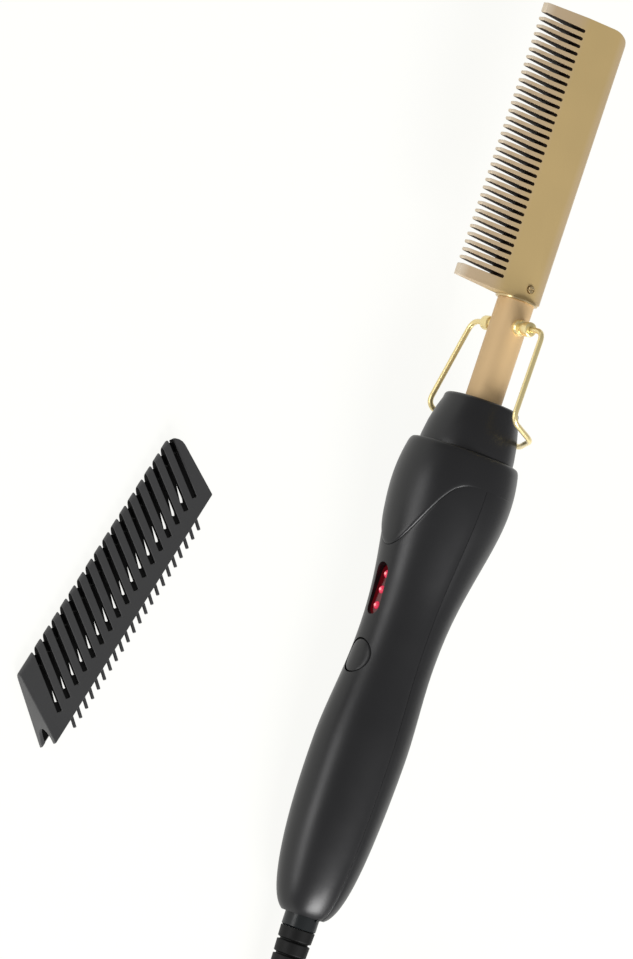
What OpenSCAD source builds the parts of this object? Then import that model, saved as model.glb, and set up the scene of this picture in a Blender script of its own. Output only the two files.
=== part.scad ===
// Electric hot comb with its comb guard and mains lead, lying on a table. Millimetres.
// The comb is drawn along its own axis: +X from the cord end to the head, +Y the side that the
// teeth, the lamps and the button face, +Z out of the flat side of the head. on_table() then
// lays it down, raised at the head end by the folded wire stand.

/* [Comb head] */
// Length of the head along the handle
head_len = 86.7; // [84:0.1:95]
// Depth from the spine to the tooth tips
head_depth = 29.9; // [28:0.1:32]
// Thickness at the spine
spine_thick = 11.4; // [11.4:0.1:13]
// Thickness at the tooth tips
tip_thick = 2.4; // [2:0.1:3]
// Number of slots between the teeth
slot_count = 33; // [20:1:33]
// Distance from one tooth to the next
tooth_pitch = 2.44; // [2.3:0.01:2.5]
// Width of a tooth at its root
tooth_w = 1.4; // [1.2:0.05:1.5]
// Width of a tooth at its tip
tooth_tip_w = 1; // [0.8:0.05:1.1]
// Length of the teeth
tooth_len = 14.5; // [12:0.1:16]

/* [Neck and stand] */
// Outer radius of the neck tube
neck_r = 5.7; // [5.5:0.1:5.7]
// Place of the stand's hinge along the handle
hinge_x = 188.1; // [186:0.1:189]
// Radius of the stand's wire
wire_r = 0.85; // [0.8:0.05:0.9]
// Half width of the stand at the hinge
stand_top_w = 17.8; // [16:0.1:18]
// Half width of the stand at its foot
stand_foot_w = 21.9; // [21:0.1:21.9]

/* [Handle] */
// Distance from the butt to the shoulder under the collar
handle_len = 147.6; // [146:0.1:148]
// Radius of the belly of the grip
belly_r = 14.3; // [13.5:0.1:15]
// Place of the belly
belly_x = 53; // [48:1:56]
// Radius of the waist behind the lamps
waist_r = 12.7; // [12.5:0.1:13.5]
// Place of the waist
waist_x = 84; // [82:1:86]
// Radius of the bulb below the collar
bulb_r = 18.4; // [18:0.1:19]
// Place of the bulb
bulb_x = 135; // [133:1:136]
// How far the butt is bowed towards the button side
bow = 3.5; // [3:0.1:4]
// Thickness of the shells
wall = 2.2; // [2:0.1:2.4]
// How far the hood stands proud of the grip shells
hood_step = 0.5; // [0.4:0.1:0.7]

/* [Button and lamps] */
// Radius of the power button
button_r = 5.3; // [5:0.1:5.4]
// Place of the button
button_x = 79.5; // [79:0.5:80]
// Place of the middle lamp
lamp_x = 100.4; // [100:0.1:101]
// Distance between lamps
lamp_pitch = 4.9; // [4.8:0.1:5]
// Length of the indicator window
window_len = 16; // [15.5:0.5:16.5]
// Width of the indicator window
window_w = 5.4; // [5:0.1:5.6]

/* [Guard] */
// Length of the guard along its ridge
guard_len = 88; // [86:0.5:90]
// Height of the guard from its feet to its ridge
guard_h = 18.8; // [18.5:0.1:20]
// Slope of each face away from upright
guard_slope = 18; // [16:1:20]
// Thickness of the guard's walls
guard_wall = 1.7; // [1.6:0.1:2]
// Number of slots across the guard
guard_slots = 17; // [12:1:17]
// Width of a slot
guard_slot_w = 1.7; // [1.4:0.1:2]
// Lean of the guard's ends away from square
guard_rake = 33; // [30:1:35]
// Lean of its slots and pegs
slot_rake = 39; // [36:1:41]
// Number of pegs along the guard's open edge
guard_pegs = 22; // [16:1:22]

/* [Mains lead] */
// Radius of the lead
cord_r = 3; // [2.8:0.1:3]
// Radius of the plug's pins
pin_r = 2; // [2:0.01:2.02]
// Distance between the plug's pins
pin_gap = 19; // [18.5:0.1:19]

/* [Hidden] */

$fn = 48;
gold = [0.78, 0.64, 0.40];
bright_gold = [0.90, 0.70, 0.28];
black = [0.10, 0.10, 0.11];
grey = [0.20, 0.20, 0.21];
far = 80;                             // reach of a cutter that goes right through
fit = 0.05;                           // radial clearance of a running fit

// How the comb lies: the stand's foot and the belly of the grip touch the table.
pitch = 4.7;                          // head-up angle
rest_z = 9.66;                        // height of the cord end of the axis
set_x = -124.2;                       // the set's middle is the origin
set_y = -49.4;

// Places along the comb.
head_x = 196.5;
head_end = head_x + head_len;
spine_y = -5.6;
tip_y = spine_y + head_depth;
root_y = tip_y - tooth_len;
collar_top = 163.8;
plate_t = 0.8;
spigot_r = 4.5;
spigot_end = 206;
neck_bore = 4.6;
spigot_bore = 3.7;
butt_x = 1.2;

// ---- Small helpers -------------------------------------------------------------------------

module on_table() translate([set_x, set_y, rest_z]) rotate([0, -pitch, 0]) children();

// A round bar or a disc along X, Y or Z.
module along_x(x, r, len) translate([x, 0, 0]) rotate([0, 90, 0]) cylinder(r = r, h = len);
module along_y(y, r, len) translate([0, y, 0]) rotate([-90, 0, 0]) cylinder(r = r, h = len);

// Points of an arc in the plane.
function arc(centre, r, from, to, steps = 5) =
    [for (i = [0:steps]) let (a = from + (to - from) * i / steps) centre + r * [cos(a), sin(a)]];

function ease(u) = let (v = min(1, max(0, u))) v * v * (3 - 2 * v);
function mix(a, b, u) = a + (b - a) * u;
function unit(v) = v / norm(v);

// A polyline with its corners rounded: each inner point becomes a short curve.
function rounded(path, reach, steps = 6) = [
    path[0],
    for (i = [1:len(path) - 2])
        let (p = path[i], a = path[i - 1] - p, b = path[i + 1] - p,
             da = min(reach, norm(a) * 0.49), db = min(reach, norm(b) * 0.49),
             from = p + unit(a) * da, to = p + unit(b) * db)
        for (k = [0:steps])
            let (u = k / steps) (1 - u) * (1 - u) * from + 2 * u * (1 - u) * p + u * u * to,
    path[len(path) - 1]];

// Directions along a path and, carried along it without twist, across it.
function tangent(path, i) =
    unit(path[min(i + 1, len(path) - 1)] - path[max(i - 1, 0)]);
function square_to(v, t) = unit(v - (v * t) * t);
function carried(path, side, i = 0) =
    let (s = square_to(side, tangent(path, i)))
    i == len(path) - 1 ? [s] : concat([s], carried(path, s, i + 1));

// A round bar swept along a path.
module swept(path, r, sides, side) {
    across = carried(path, side);
    rings = len(path);
    points = [for (i = [0:rings - 1])
        let (t = tangent(path, i), s = across[i], u = cross(t, s))
        for (k = [0:sides - 1])
            let (a = 360 * k / sides) path[i] + r * (cos(a) * s + sin(a) * u)];
    walls = [for (i = [0:rings - 2]) for (k = [0:sides - 1])
        let (k2 = (k + 1) % sides)
        [i * sides + k, (i + 1) * sides + k, (i + 1) * sides + k2, i * sides + k2]];
    polyhedron(points, concat([[for (k = [0:sides - 1]) k]], walls,
        [[for (k = [sides - 1:-1:0]) (rings - 1) * sides + k]]));
}

// ---- The form of the grip ------------------------------------------------------------------

// Radius of the grip at x: a blunt butt that swells to the belly, then waist, bulb, shoulder.
function grip_r(x) =
    x < belly_x ? belly_r * pow(1 - pow(1 - x / belly_x, 2.1), 0.25) :
    x < waist_x ? mix(belly_r, waist_r, ease((x - belly_x) / (waist_x - belly_x))) :
    x < bulb_x ? mix(waist_r, bulb_r, ease(pow((x - waist_x) / (bulb_x - waist_x), 1.25))) :
    mix(bulb_r, bulb_r - 3.4, pow((x - bulb_x) / (handle_len + 6 - bulb_x), 2));
function grip_y(x) = bow * (1 - ease((x - 20) / 130));

deep = 1.05;                          // the section is a little deeper than it is wide
wide = 0.885;

// A step outwards is full on the button side and fades out towards the back.
function faded(off, a) = off > 0 ? off * ease((cos(a) + 0.25) / 0.7) : off;

// A solid with the grip's sections, r_off thicker, from x0 to x1.
module grip_form(x0, x1, r_off, rings, sides = 40) {
    xs = [for (i = [0:rings]) x0 + (x1 - x0) * (1 - cos(180 * i / rings)) / 2];
    points = [for (x = xs) for (k = [0:sides - 1])
        let (r = grip_r(x), a = 360 * (k + 0.5) / sides)
        [x, grip_y(x) + (r * deep + faded(r_off, a)) * cos(a), (r * wide + faded(r_off, a)) * sin(a)]];
    walls = [for (i = [0:rings - 1]) for (k = [0:sides - 1])
        let (k2 = (k + 1) % sides)
        [i * sides + k, (i + 1) * sides + k, (i + 1) * sides + k2, i * sides + k2]];
    polyhedron(points, concat([[for (k = [0:sides - 1]) k]], walls,
        [[for (k = [sides - 1:-1:0]) rings * sides + k]]));
}

// The edge of the hood, seen along Z: a ring behind, a tongue down the button side.
hood_seam_x = 137.6;
tongue = 22;
tongue_y = 17.2;
function hood_edge(y) = hood_seam_x - tongue * pow(max(0, y) / tongue_y, 4);
module hood_side() {
    edge = [for (y = [-24:4:0]) [hood_edge(y), y], for (y = [1.5:1.5:18]) [hood_edge(y), y]];
    translate([0, 0, -far / 2]) linear_extrude(far)
        polygon(concat(edge, [[handle_len + 8, 24], [handle_len + 8, -24]]));
}

// ---- Comb head -----------------------------------------------------------------------------

// Section across the head: a wedge with a rounded spine.
function half_thick(y) = mix(spine_thick, tip_thick, (y - spine_y) / head_depth) / 2;
spine_round = 2.2;
module head_section() {
    a = [spine_y + spine_round, spine_thick / 2 - spine_round];
    upper = arc(a, spine_round, 98, 180);
    polygon(concat([[tip_y, half_thick(tip_y)]], upper,
        [for (i = [len(upper) - 1:-1:0]) [upper[i][0], -upper[i][1]]],
        [[tip_y, -half_thick(tip_y)]]));
}
module head_wedge(x0, len) translate([x0, 0, 0]) rotate([90, 0, 90]) linear_extrude(len)
    head_section();

first_slot = head_x + (head_len - (slot_count - 1) * tooth_pitch) / 2;
slot_w = tooth_pitch - tooth_w;
module tooth() {
    tip_r = tooth_tip_w / 2;
    polygon([[-tooth_w / 2, -1], [tooth_w / 2, -1], [tip_r, tooth_len - tip_r],
        [-tip_r, tooth_len - tip_r]]);
    translate([0, tooth_len - tip_r]) circle(tip_r, $fn = 16);
}
module head_plan() {
    corner = 6;
    nose = [head_end - corner, spine_y + corner];
    low = head_x + plate_t;
    high = first_slot + (slot_count - 1) * tooth_pitch + slot_w / 2;
    difference() {
        polygon(concat([[low, spine_y]], arc(nose, corner, -90, 0, 8),
            [[head_end, root_y + slot_w / 2], [low, root_y + slot_w / 2]]));
        for (i = [0:slot_count - 1])
            translate([first_slot + i * tooth_pitch, root_y + slot_w / 2])
                circle(slot_w / 2, $fn = 16);
    }
    translate([0, root_y]) {
        for (i = [1:slot_count - 1]) translate([first_slot + (i - 0.5) * tooth_pitch, 0]) tooth();
        polygon([[low, 0], [first_slot - slot_w / 2, 0],
            [first_slot - slot_w / 2 - 0.5, tooth_len], [low, tooth_len]]);
        polygon([[high, 0], [head_end, 0], [head_end - 0.6, tooth_len], [high + 0.5, tooth_len]]);
    }
}
cavity_y = 1.2;                       // middle of the heater cavity
cavity = [66, 9.2, 4.6];
module comb_head() color(gold) on_table() difference() {
    intersection() {
        head_wedge(head_x, head_len);
        translate([0, 0, -far / 2]) linear_extrude(far) head_plan();
    }
    translate([spigot_end, cavity_y - cavity[1] / 2, -cavity[2] / 2]) cube(cavity);
    along_x(head_x, spigot_r, spigot_end - head_x + 0.4);
    translate([screw_x, 0, -far / 2]) cylinder(r = screw_r, h = far);
}
module end_plate() color(gold) on_table() difference() {
    head_wedge(head_x, plate_t);
    along_x(head_x - 1, spigot_r, 3);
}
screw_x = 200.2;
screw_r = 1.1;
module head_screws() color(bright_gold) on_table()
    for (turn = [0, 180]) translate([screw_x, 0, 0]) rotate([turn, 0, 0]) difference() {
        translate([0, 0, spigot_r - 0.6]) cylinder(r = screw_r, h = 1.1);
        translate([-0.2, -2, spigot_r + 0.1]) cube([0.4, 4, 1]);
    }

heater = [62, 7.4, 1.3];
module heater_plates() color("white") on_table()
    for (z = [0.15, -0.15 - heater[2]])
        translate([spigot_end + 1, cavity_y - heater[1] / 2, z]) cube(heater);
module heater_sleeve() color("orange") on_table()
    translate([spigot_end + 0.6, cavity_y, 0]) difference() {
        translate([0, -heater[1] / 2 - 0.4, -heater[2] - 0.55])
            cube([heater[0] + 0.8, heater[1] + 0.8, 2 * heater[2] + 1.1]);
        translate([-1, -heater[1] / 2, -heater[2] - 0.15])
            cube([heater[0] + 3, heater[1], 2 * heater[2] + 0.3]);
    }
module temperature_sensor() color("darkred") on_table()
    translate([0, cavity_y, 0]) along_x(spigot_end - 3.2, 0.9, 4.1);

// ---- Neck and stand ------------------------------------------------------------------------

neck_x = 147;
lug_shank = 1.2;
module neck_tube() color(gold) on_table() difference() {
    union() {
        along_x(neck_x, neck_r, head_x - neck_x);
        along_x(head_x - 1, spigot_r, spigot_end - head_x + 1);
    }
    along_x(neck_x - 1, neck_bore, head_x - neck_x - 1);
    along_x(neck_x, spigot_bore, far);
    translate([hinge_x, 0, -neck_r - 1]) cylinder(r = lug_shank, h = 2 * neck_r + 2);
    translate([screw_x, 0, -neck_r]) cylinder(r = screw_r, h = 2 * neck_r);
}

// A shouldered brass lug on each side, bored for the end of the wire.
lug_end = 11.8;
lug_bore = wire_r + fit;
module stand_lugs() color(bright_gold) on_table()
    for (turn = [0, 180]) translate([hinge_x, 0, 0]) rotate([turn, 0, 0]) difference() {
        rotate_extrude() polygon([[0, neck_bore], [lug_shank, neck_bore], [lug_shank, 5.2],
            [2.5, 5.2], [2.5, 6.2], [2.2, 6.7], [1.5, 6.9], [1.5, 8.1], [2.0, 8.4], [2.25, 8.9],
            [2.25, 10.9], [1.8, lug_end], [0, lug_end]]);
        difference() {
            translate([-3, -3, 4]) cube([6, 6, 2]);
            cylinder(r = lug_shank, h = 6);
            rotate([0, 90, 0]) translate([0, 0, -4]) difference() {
                cylinder(r = far, h = 8);
                cylinder(r = neck_r, h = 8);
            }
        }
        translate([0, 0, 7.6]) cylinder(r = lug_bore, h = far);
    }

// The wire stand: two legs that splay, then a foot that wraps round the back of the collar.
leg_path = [[hinge_x, 0, 12.5], [hinge_x, 0, stand_top_w], [159.6, 3.5, stand_foot_w],
    [156.2, -7.5, 18.8], [155.6, -12.5, 9.5], [155.2, -16, 3.5], [155.2, -16.2, 0]];
function flipped(path) = [for (i = [len(path) - 1:-1:0]) [path[i][0], path[i][1], -path[i][2]]];
stand_path = let (half = leg_path, all = concat(half, [for (i = [1:len(half) - 1])
    flipped(half)[i]])) rounded(all, 3.2, 4);
module stand_wire() color(bright_gold) on_table() {
    swept(stand_path, wire_r + 0.06, 12, [1, 0, 0]);
    for (turn = [0, 180]) translate([hinge_x, 0, 0]) rotate([turn, 0, 0])
        translate([0, 0, 8]) cylinder(r = wire_r, h = 4.6);
}

collar_foot = 15.6;
collar_in = 142;                      // the collar's hidden end inside the hood
module nose_collar() color(black) on_table() rotate([0, 90, 0]) rotate_extrude() polygon(concat(
    [[neck_r + 2, collar_in], [13.2, collar_in], [13.2, handle_len], [collar_foot, handle_len]],
    arc([collar_foot - 0.8, 149.4], 0.8, 0, 60, 3), arc([11.7 - 1.4, collar_top - 1.4], 1.4, 18, 90, 4),
    [[neck_r + 0.6, collar_top], [neck_r + 0.6, collar_top - 2], [neck_r + 2, collar_top - 2]]));
module neck_bush() color("ivory") on_table() difference() {
    along_x(collar_in, neck_r + 2, collar_top - 2 - collar_in);
    along_x(collar_in - 1, neck_r, far);
}
module thermal_fuse() color("silver") on_table() translate([0, 2.7, 0]) {
    along_x(152, 1.7, 9);
    along_x(149, 0.5, 15);
}
lead_z = 2.2;
module heater_leads() color("white") on_table()
    for (side = [1, -1]) translate([0, -1.4, lead_z * side]) along_x(128, 0.9, spigot_end - 128);

// ---- Handle --------------------------------------------------------------------------------

hood_end = handle_len;
module handle_hood() color(black) on_table() difference() {
    intersection() {
        grip_form(108, hood_end, hood_step, 14);
        hood_side();
    }
    grip_form(100, hood_end - 3.4, -wall, 10, 28);
    along_x(100, 13.2, far);
}

module half(side) translate([-10, side > 0 ? 0 : -far, -far / 2]) cube([200, far, far]);
module grip_shell(side) intersection() {
    difference() {
        grip_form(butt_x, hood_seam_x + 1, 0, 26);
        grip_form(butt_x + 2.6, hood_seam_x + 3, -wall, 18, 28);
        hood_side();
    }
    half(side);
}
// A stadium-shaped bar along Y, as long as len and as wide as w.
module pill(x, len, w, y0, y1) translate([x, y0, 0]) rotate([-90, 0, 0]) {
    for (s = [1, -1]) translate([s * (len - w) / 2, 0, 0]) cylinder(r = w / 2, h = y1 - y0);
    translate([-(len - w) / 2, -w / 2, 0]) cube([len - w, w, y1 - y0]);
}
board_y = 5;                          // back face of the board
board_t = 1.6;
board = [64, 15];
board_x = 57;
post_x = [62, 116];
button_gap = 0.25;
socket_r = 6.2;                       // flange of the swivel's socket
mouth_r = 5.3;

module front_shell() color(black) on_table() {
    difference() {
        union() {
            grip_shell(1);
            intersection() {
                for (x = post_x) translate([x, 0, 0]) along_y(board_y + board_t, 2.2, 20);
                grip_form(butt_x, hood_seam_x, -1, 12, 24);
            }
            intersection() {
                pill(lamp_x, window_len + 3, window_w + 3, 11.4, 16);
                grip_form(butt_x, hood_seam_x, -1, 12, 24);
            }
        }
        pill(lamp_x, window_len, window_w, 5, 30);
        translate([button_x, 0, 0]) along_y(2, button_r + button_gap, 30);
        socket_room();
    }
}
module back_shell() color(black) on_table() difference() {
    union() {
        grip_shell(-1);
        intersection() {
            for (x = post_x) translate([x, 0, 0]) along_y(-20, 3.2, 20 + board_y);
            grip_form(butt_x, hood_seam_x, -1, 12, 24);
        }
    }
    for (x = post_x) translate([x, 0, 0]) {
        along_y(-30, 1.2, 30 + board_y + 1);
        along_y(-30, 2.3, 22.5);
    }
    socket_room();
}
module socket_room() translate([0, grip_y(0), 0]) {
    along_x(0, mouth_r, 5);
    along_x(4.5, socket_r, 7);
}
module shell_screws() color("silver") on_table()
    for (x = post_x) translate([x, 0, 0]) {
        along_y(-7.5, 1.2, 7.5 + board_y);
        difference() {
            along_y(-9, 2.1, 1.5);
            translate([-0.3, -9.5, -3]) cube([0.6, 1.2, 6]);
        }
    }

module window_lens() color("darkred") on_table() {
    pill(lamp_x, window_len, window_w, 12.4, 13.6);
    for (i = [-1:1]) translate([lamp_x + i * lamp_pitch, 13.5, 0]) sphere(1.3, $fn = 24);
}
module lamps() color("red") on_table()
    for (i = [-1:1]) translate([lamp_x + i * lamp_pitch, 0, 0]) {
        along_y(board_y + board_t, 1.9, 0.8);
        along_y(board_y + board_t, 1.5, 4);
        translate([0, board_y + board_t + 4, 0]) sphere(1.5, $fn = 24);
    }
module circuit_board() color("darkgreen") on_table() difference() {
    translate([board_x, board_y, -board[1] / 2]) cube([board[0], board_t, board[1]]);
    for (x = post_x) translate([x, 0, 0]) along_y(board_y - 1, 1.2, 4);
}
module board_parts() color(grey) on_table() translate([0, board_y, 0]) {
    translate([88, -2, -4]) cube([9, 2, 7]);
    translate([70, -4.4, -5]) cube([10, 4.4, 5]);
    translate([104, 0, 1]) along_y(-7, 3, 7);
    for (x = [72:5:87]) translate([x, -1, 3.5]) cube([3, 1, 1.6]);
}
switch_top = 10.2;
module switch_body() color(grey) on_table() difference() {
    translate([button_x - 3, board_y + board_t, -3]) cube([6, switch_top - board_y - board_t, 6]);
    translate([button_x, 0, 0]) along_y(switch_top - 1.6, 1.75 + fit, 4);
}
plunger_top = 11.3;
module switch_plunger() color("white") on_table()
    translate([button_x, 0, 0]) along_y(switch_top - 0.8, 1.75, plunger_top - switch_top + 0.8);
module power_button() color(black) on_table() {
    intersection() {
        translate([button_x, 0, 0]) along_y(plunger_top + 0.9, button_r, 20);
        grip_form(60, 100, -0.05, 16);
    }
    translate([button_x - 6.6, plunger_top, -2.8]) cube([13.2, 1, 5.6]);
}

// ---- Cord end ------------------------------------------------------------------------------

cord_y = grip_y(0);
journal_r = 4;
relief_len = 31;
relief_x = -3;
module swivel_socket() color(grey) on_table() translate([0, cord_y, 0]) rotate([0, 90, 0])
    rotate_extrude() polygon([[journal_r + fit, relief_x], [mouth_r - 0.4, relief_x],
        [mouth_r, relief_x + 0.5], [mouth_r, 4.5], [socket_r, 4.5], [socket_r, 9],
        [journal_r + fit, 9]]);
// Ribbed sleeve on the lead, with a journal that turns in the socket.
module strain_relief() color(black) on_table() translate([0, cord_y, 0]) {
    difference() {
        along_x(relief_x - relief_len, 5.2, relief_len - 0.1);
        translate([relief_x - relief_len, 0, 0]) rotate([0, 90, 0]) rotate_extrude()
            polygon([[4, -1], [far, -1], [far, relief_len], [5.2, relief_len]]);
        for (i = [0:6]) translate([relief_x - 3.4 - 4 * i, 0, 0]) rotate([0, 90, 0])
            rotate_extrude() polygon([[3.6, -0.7], [far, -0.7], [far, 0.7], [3.6, 0.7]]);
    }
    along_x(relief_x - 0.1, journal_r, 9.3 - relief_x + 0.1);
    along_x(9.3, 5.4, 1.2);
    along_x(10.5, 2.6, 10);
}
module slip_rings() color("gold") on_table() translate([0, cord_y, 0])
    for (x = [12, 16.5]) difference() {
        along_x(x, 3.2, 2.4);
        along_x(x - 1, 2.6, 5);
    }
module ring_contacts() color("gold") on_table() translate([0, cord_y, 0])
    for (x = [12.4, 16.9]) translate([x, -2, 3.25]) {
        cube([1.6, 5, 0.4]);
        translate([0, 4.6, 0]) cube([1.6, 0.4, x > 14 ? 2 : 4]);
    }
module mains_wires() color("brown") on_table() translate([0, cord_y, 0])
    for (x = [14, 18.5]) translate([x, 2.8, x > 14 ? 4.2 : 6.4])
        rotate([0, 90, 0]) cylinder(r = 0.8, h = board_x - x);

// The lead: a short free run, six turns in two layers, and the plug laid on top of them.
coil_mid = 33;
coil_half = 8.7;
coil_h = 4 * cord_r;
coil_at = [-75, -41.4];
lead_path = [[-34.2, 3.5, 6.85], [-40, 3.5, 6.3], [-48, 3.5, 5.3], [-57, 3.5, 4.3],
    [-66, 3.5, 3.5], [-75, 3.5, 3.05]];
plug_at = [-80.7, -65, 16.2];
plug_path = [[-97.5, -2.5, 15.2], [-109.8, -14.7, 15.2], [-114.3, -31.5, 15.2],
    [-109.8, -48.2, 15.5], [-98, -60.5, 16], [-88, -65, 16.2], [-81, -65, 16.2]];
module to_table() translate([set_x, set_y, 0]) children();
module power_cord() color(black) to_table() swept(lead_path, cord_r, 10, [0, 1, 0]);
module plug_lead() color(black) to_table()
    swept(rounded(plug_path, 8, 2), cord_r, 10, [0, 0, 1]);
module cord_coil() color(black) to_table() translate([coil_at[0], coil_at[1], 0])
    rotate_extrude() polygon([[coil_mid - coil_half, 0], [coil_mid + coil_half, 0],
        [coil_mid + coil_half, coil_h], [coil_mid - coil_half, coil_h]]);
module coil_tie() color(grey) to_table() translate([coil_at[0] + coil_mid, coil_at[1], coil_h / 2])
    rotate([90, 0, 0]) translate([0, 0, -3]) difference() {
        translate([-coil_half - 1.4, -coil_h / 2, 0]) cube([2 * coil_half + 2.6, coil_h + 1, 6]);
        translate([-coil_half - 0.4, -coil_h / 2 - 1, -1])
            cube([2 * coil_half + 0.6, coil_h + 1, 8]);
    }
plug_len = 34;
module plug_body() color(black) to_table() translate(plug_at) {
    intersection() {
        along_x(8, 16, plug_len);
        translate([0, -16, -4]) cube([far, 32, 11]);
        rotate([0, 90, 0]) rotate_extrude() polygon([[0, 8], [9, 8], [16, 20], [16, 39], [14, 42],
            [0, 42]]);
    }
    along_x(0, 4, 10);
}
module plug_pins() color("silver") to_table() translate(plug_at)
    for (side = [1, -1]) translate([8 + plug_len, side * pin_gap / 2, 1.5]) rotate([0, 90, 0]) {
        cylinder(r = pin_r, h = 17.5);
        translate([0, 0, 17.5]) cylinder(r1 = pin_r, r2 = pin_r - 0.6, h = 1.5);
    }

// ---- Guard ---------------------------------------------------------------------------------
// Drawn like a roof, +X along the ridge and +Z up to it, then laid down on one of its faces.

ridge_r = 1.9;
band = 4.2;                           // unslotted strip along each open edge
peg = [0.9, 1.1, 4.4];
slot_pitch = 4.73;
slot_x = 7.8;
notch = 0.9;                          // depth of the notches across the ridge
arch_h = 4.4;

// Half width of the roof's outside at height z, and of the space under it.
function roof_y(z) = ridge_r * cos(guard_slope)
    + tan(guard_slope) * (guard_h - ridge_r + ridge_r * sin(guard_slope) - z);
function under_y(z) = roof_y(z) - guard_wall / cos(guard_slope);

module roof_outline() polygon(concat([[-roof_y(0), 0], [roof_y(0), 0]],
    arc([0, guard_h - ridge_r], ridge_r, guard_slope, 180 - guard_slope, 8)));
module under_outline() {
    top = guard_h - 4.5;
    polygon([[-under_y(-1), -1], [under_y(-1), -1], [under_y(top), top], [-under_y(top), top]]);
}
module prism(x0, len) translate([x0, 0, 0]) rotate([90, 0, 90]) linear_extrude(len) children();
// A slab that leans, t thick along the ridge, from height z0 to z1.
module leaning(x, t, z0, z1, rake = guard_rake) translate([x, 0, guard_h]) rotate([0, rake, 0])
    translate([0, -far / 2, (z0 - guard_h) / cos(rake)])
        cube([t * cos(rake), far, (z1 - z0) / cos(rake)]);
// The roof seen from its side: ends leaning, the far end of the ridge rounded.
module side_outline() {
    k = tan(guard_rake);
    a = 90 - guard_rake;
    bend = 3.2;
    far_c = [guard_len - bend * (k + 1 / cos(guard_rake)), guard_h - bend];
    polygon(concat([[-guard_h * k, 0], [guard_len - guard_h * k, 0]],
        arc(far_c, bend, -guard_rake, 90, 6), [[0, guard_h]]));
}
module guard_body() difference() {
    intersection() {
        prism(-40, guard_len + 60) roof_outline();
        rotate([90, 0, 0]) translate([0, 0, -far / 2]) linear_extrude(far) side_outline();
    }
    // the channel: closed by an arched wall at one end, open at the other
    intersection() {
        prism(-40, guard_len + 60) under_outline();
        leaning(1.8, guard_len, -20, 60);
    }
    prism(-60, 80) polygon(concat([[-under_y(0) + 0.6, -1]],
        [for (k = [0:8]) let (a = 180 - 180 * k / 8)
            [(under_y(0) - 0.6) * cos(a), arch_h * sin(a)]],
        [[under_y(0) - 0.6, -1]]));
    // on the upper face the slots run out over the ridge, on the other one they stop below it
    for (i = [0:guard_slots - 1]) {
        x = slot_x + i * slot_pitch;
        leaning(x, guard_slot_w, band, guard_h - 3.2, slot_rake);
        intersection() {
            leaning(x, guard_slot_w, guard_h - 4, 40, slot_rake);
            translate([-40, -far, 0]) cube([guard_len + 80, far - 0.2, far]);
        }
        leaning(x, guard_slot_w, guard_h - notch, 40, slot_rake);
    }
}
module guard_teeth() for (i = [0:guard_pegs - 1])
    translate([12.1 + i * 73 / guard_pegs, 0, guard_h]) rotate([0, slot_rake, 0])
        translate([0, -under_y(0) - 0.5, -guard_h / cos(slot_rake) - peg[2] + 1.4]) cube(peg);
module guard() color(black) to_table() translate([41.8, 116.1, ridge_r]) rotate([0, 0, -18.7])
    rotate([-90 - guard_slope, 0, 0]) translate([0, 0, ridge_r - guard_h]) {
        guard_body();
        guard_teeth();
    }

comb_head();
end_plate();
head_screws();
heater_plates();
heater_sleeve();
temperature_sensor();
neck_tube();
stand_lugs();
stand_wire();
nose_collar();
neck_bush();
thermal_fuse();
heater_leads();
handle_hood();
front_shell();
back_shell();
shell_screws();
window_lens();
lamps();
circuit_board();
board_parts();
switch_body();
switch_plunger();
power_button();
mains_wires();
swivel_socket();
strain_relief();
slip_rings();
ring_contacts();
power_cord();
cord_coil();
coil_tie();
plug_lead();
plug_body();
plug_pins();
guard();
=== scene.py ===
# %% [markdown]
# # An electric hot comb and its guard
# The real object is a comb that heats up: a gold head on a neck, a folding wire stand, a black
# bowed handle with three lamps and one power button, a lead on a swivel, and a loose slotted
# guard. An engineering model already holds all its solids in the right place. This lesson
# dresses that model: each visible piece gets its finished surface and its material, and the
# hidden ones are left alone. It starts by loading the frame, which brings in those solids and
# remembers how large they are, so that the dressed comb can be compared with them at the end.

import math

import bmesh
import bpy
from mathutils import Matrix, Vector


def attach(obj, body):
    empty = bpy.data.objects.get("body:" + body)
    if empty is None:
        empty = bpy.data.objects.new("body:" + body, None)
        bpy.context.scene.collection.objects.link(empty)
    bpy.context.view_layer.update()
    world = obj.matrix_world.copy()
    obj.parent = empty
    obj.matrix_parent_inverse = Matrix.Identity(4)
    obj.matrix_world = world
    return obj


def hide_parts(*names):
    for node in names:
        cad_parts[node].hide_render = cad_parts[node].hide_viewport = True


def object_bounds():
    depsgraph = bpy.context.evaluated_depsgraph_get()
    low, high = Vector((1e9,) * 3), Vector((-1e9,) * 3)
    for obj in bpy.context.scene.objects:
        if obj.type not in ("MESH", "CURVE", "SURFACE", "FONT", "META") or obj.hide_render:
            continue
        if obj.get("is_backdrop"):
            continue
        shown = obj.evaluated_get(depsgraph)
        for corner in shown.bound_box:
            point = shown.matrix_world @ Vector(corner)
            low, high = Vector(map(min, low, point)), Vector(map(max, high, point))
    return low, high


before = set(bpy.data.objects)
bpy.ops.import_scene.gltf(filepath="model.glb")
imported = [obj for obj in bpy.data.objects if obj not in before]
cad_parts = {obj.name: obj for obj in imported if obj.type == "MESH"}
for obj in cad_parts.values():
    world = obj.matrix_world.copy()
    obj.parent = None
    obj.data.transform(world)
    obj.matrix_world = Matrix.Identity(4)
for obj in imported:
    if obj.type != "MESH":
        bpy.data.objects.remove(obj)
start_box = [list(corner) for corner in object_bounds()]
MM = 0.001
print("nodes in the frame:", len(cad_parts))

# %% [markdown]
# The comb rests on its butt and on the wire stand, so the whole tool is tilted up by 4.7 degrees.
# Every piece could be modelled at the origin and turned afterwards, but a finished object here
# has to sit at the origin with its place in its mesh. So one helper turns a point of the comb
# (x along the handle, y towards the teeth, z out of the flat side, in millimetres) into the
# shared frame, and a second one does the same for things that lie flat beside it.

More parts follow.
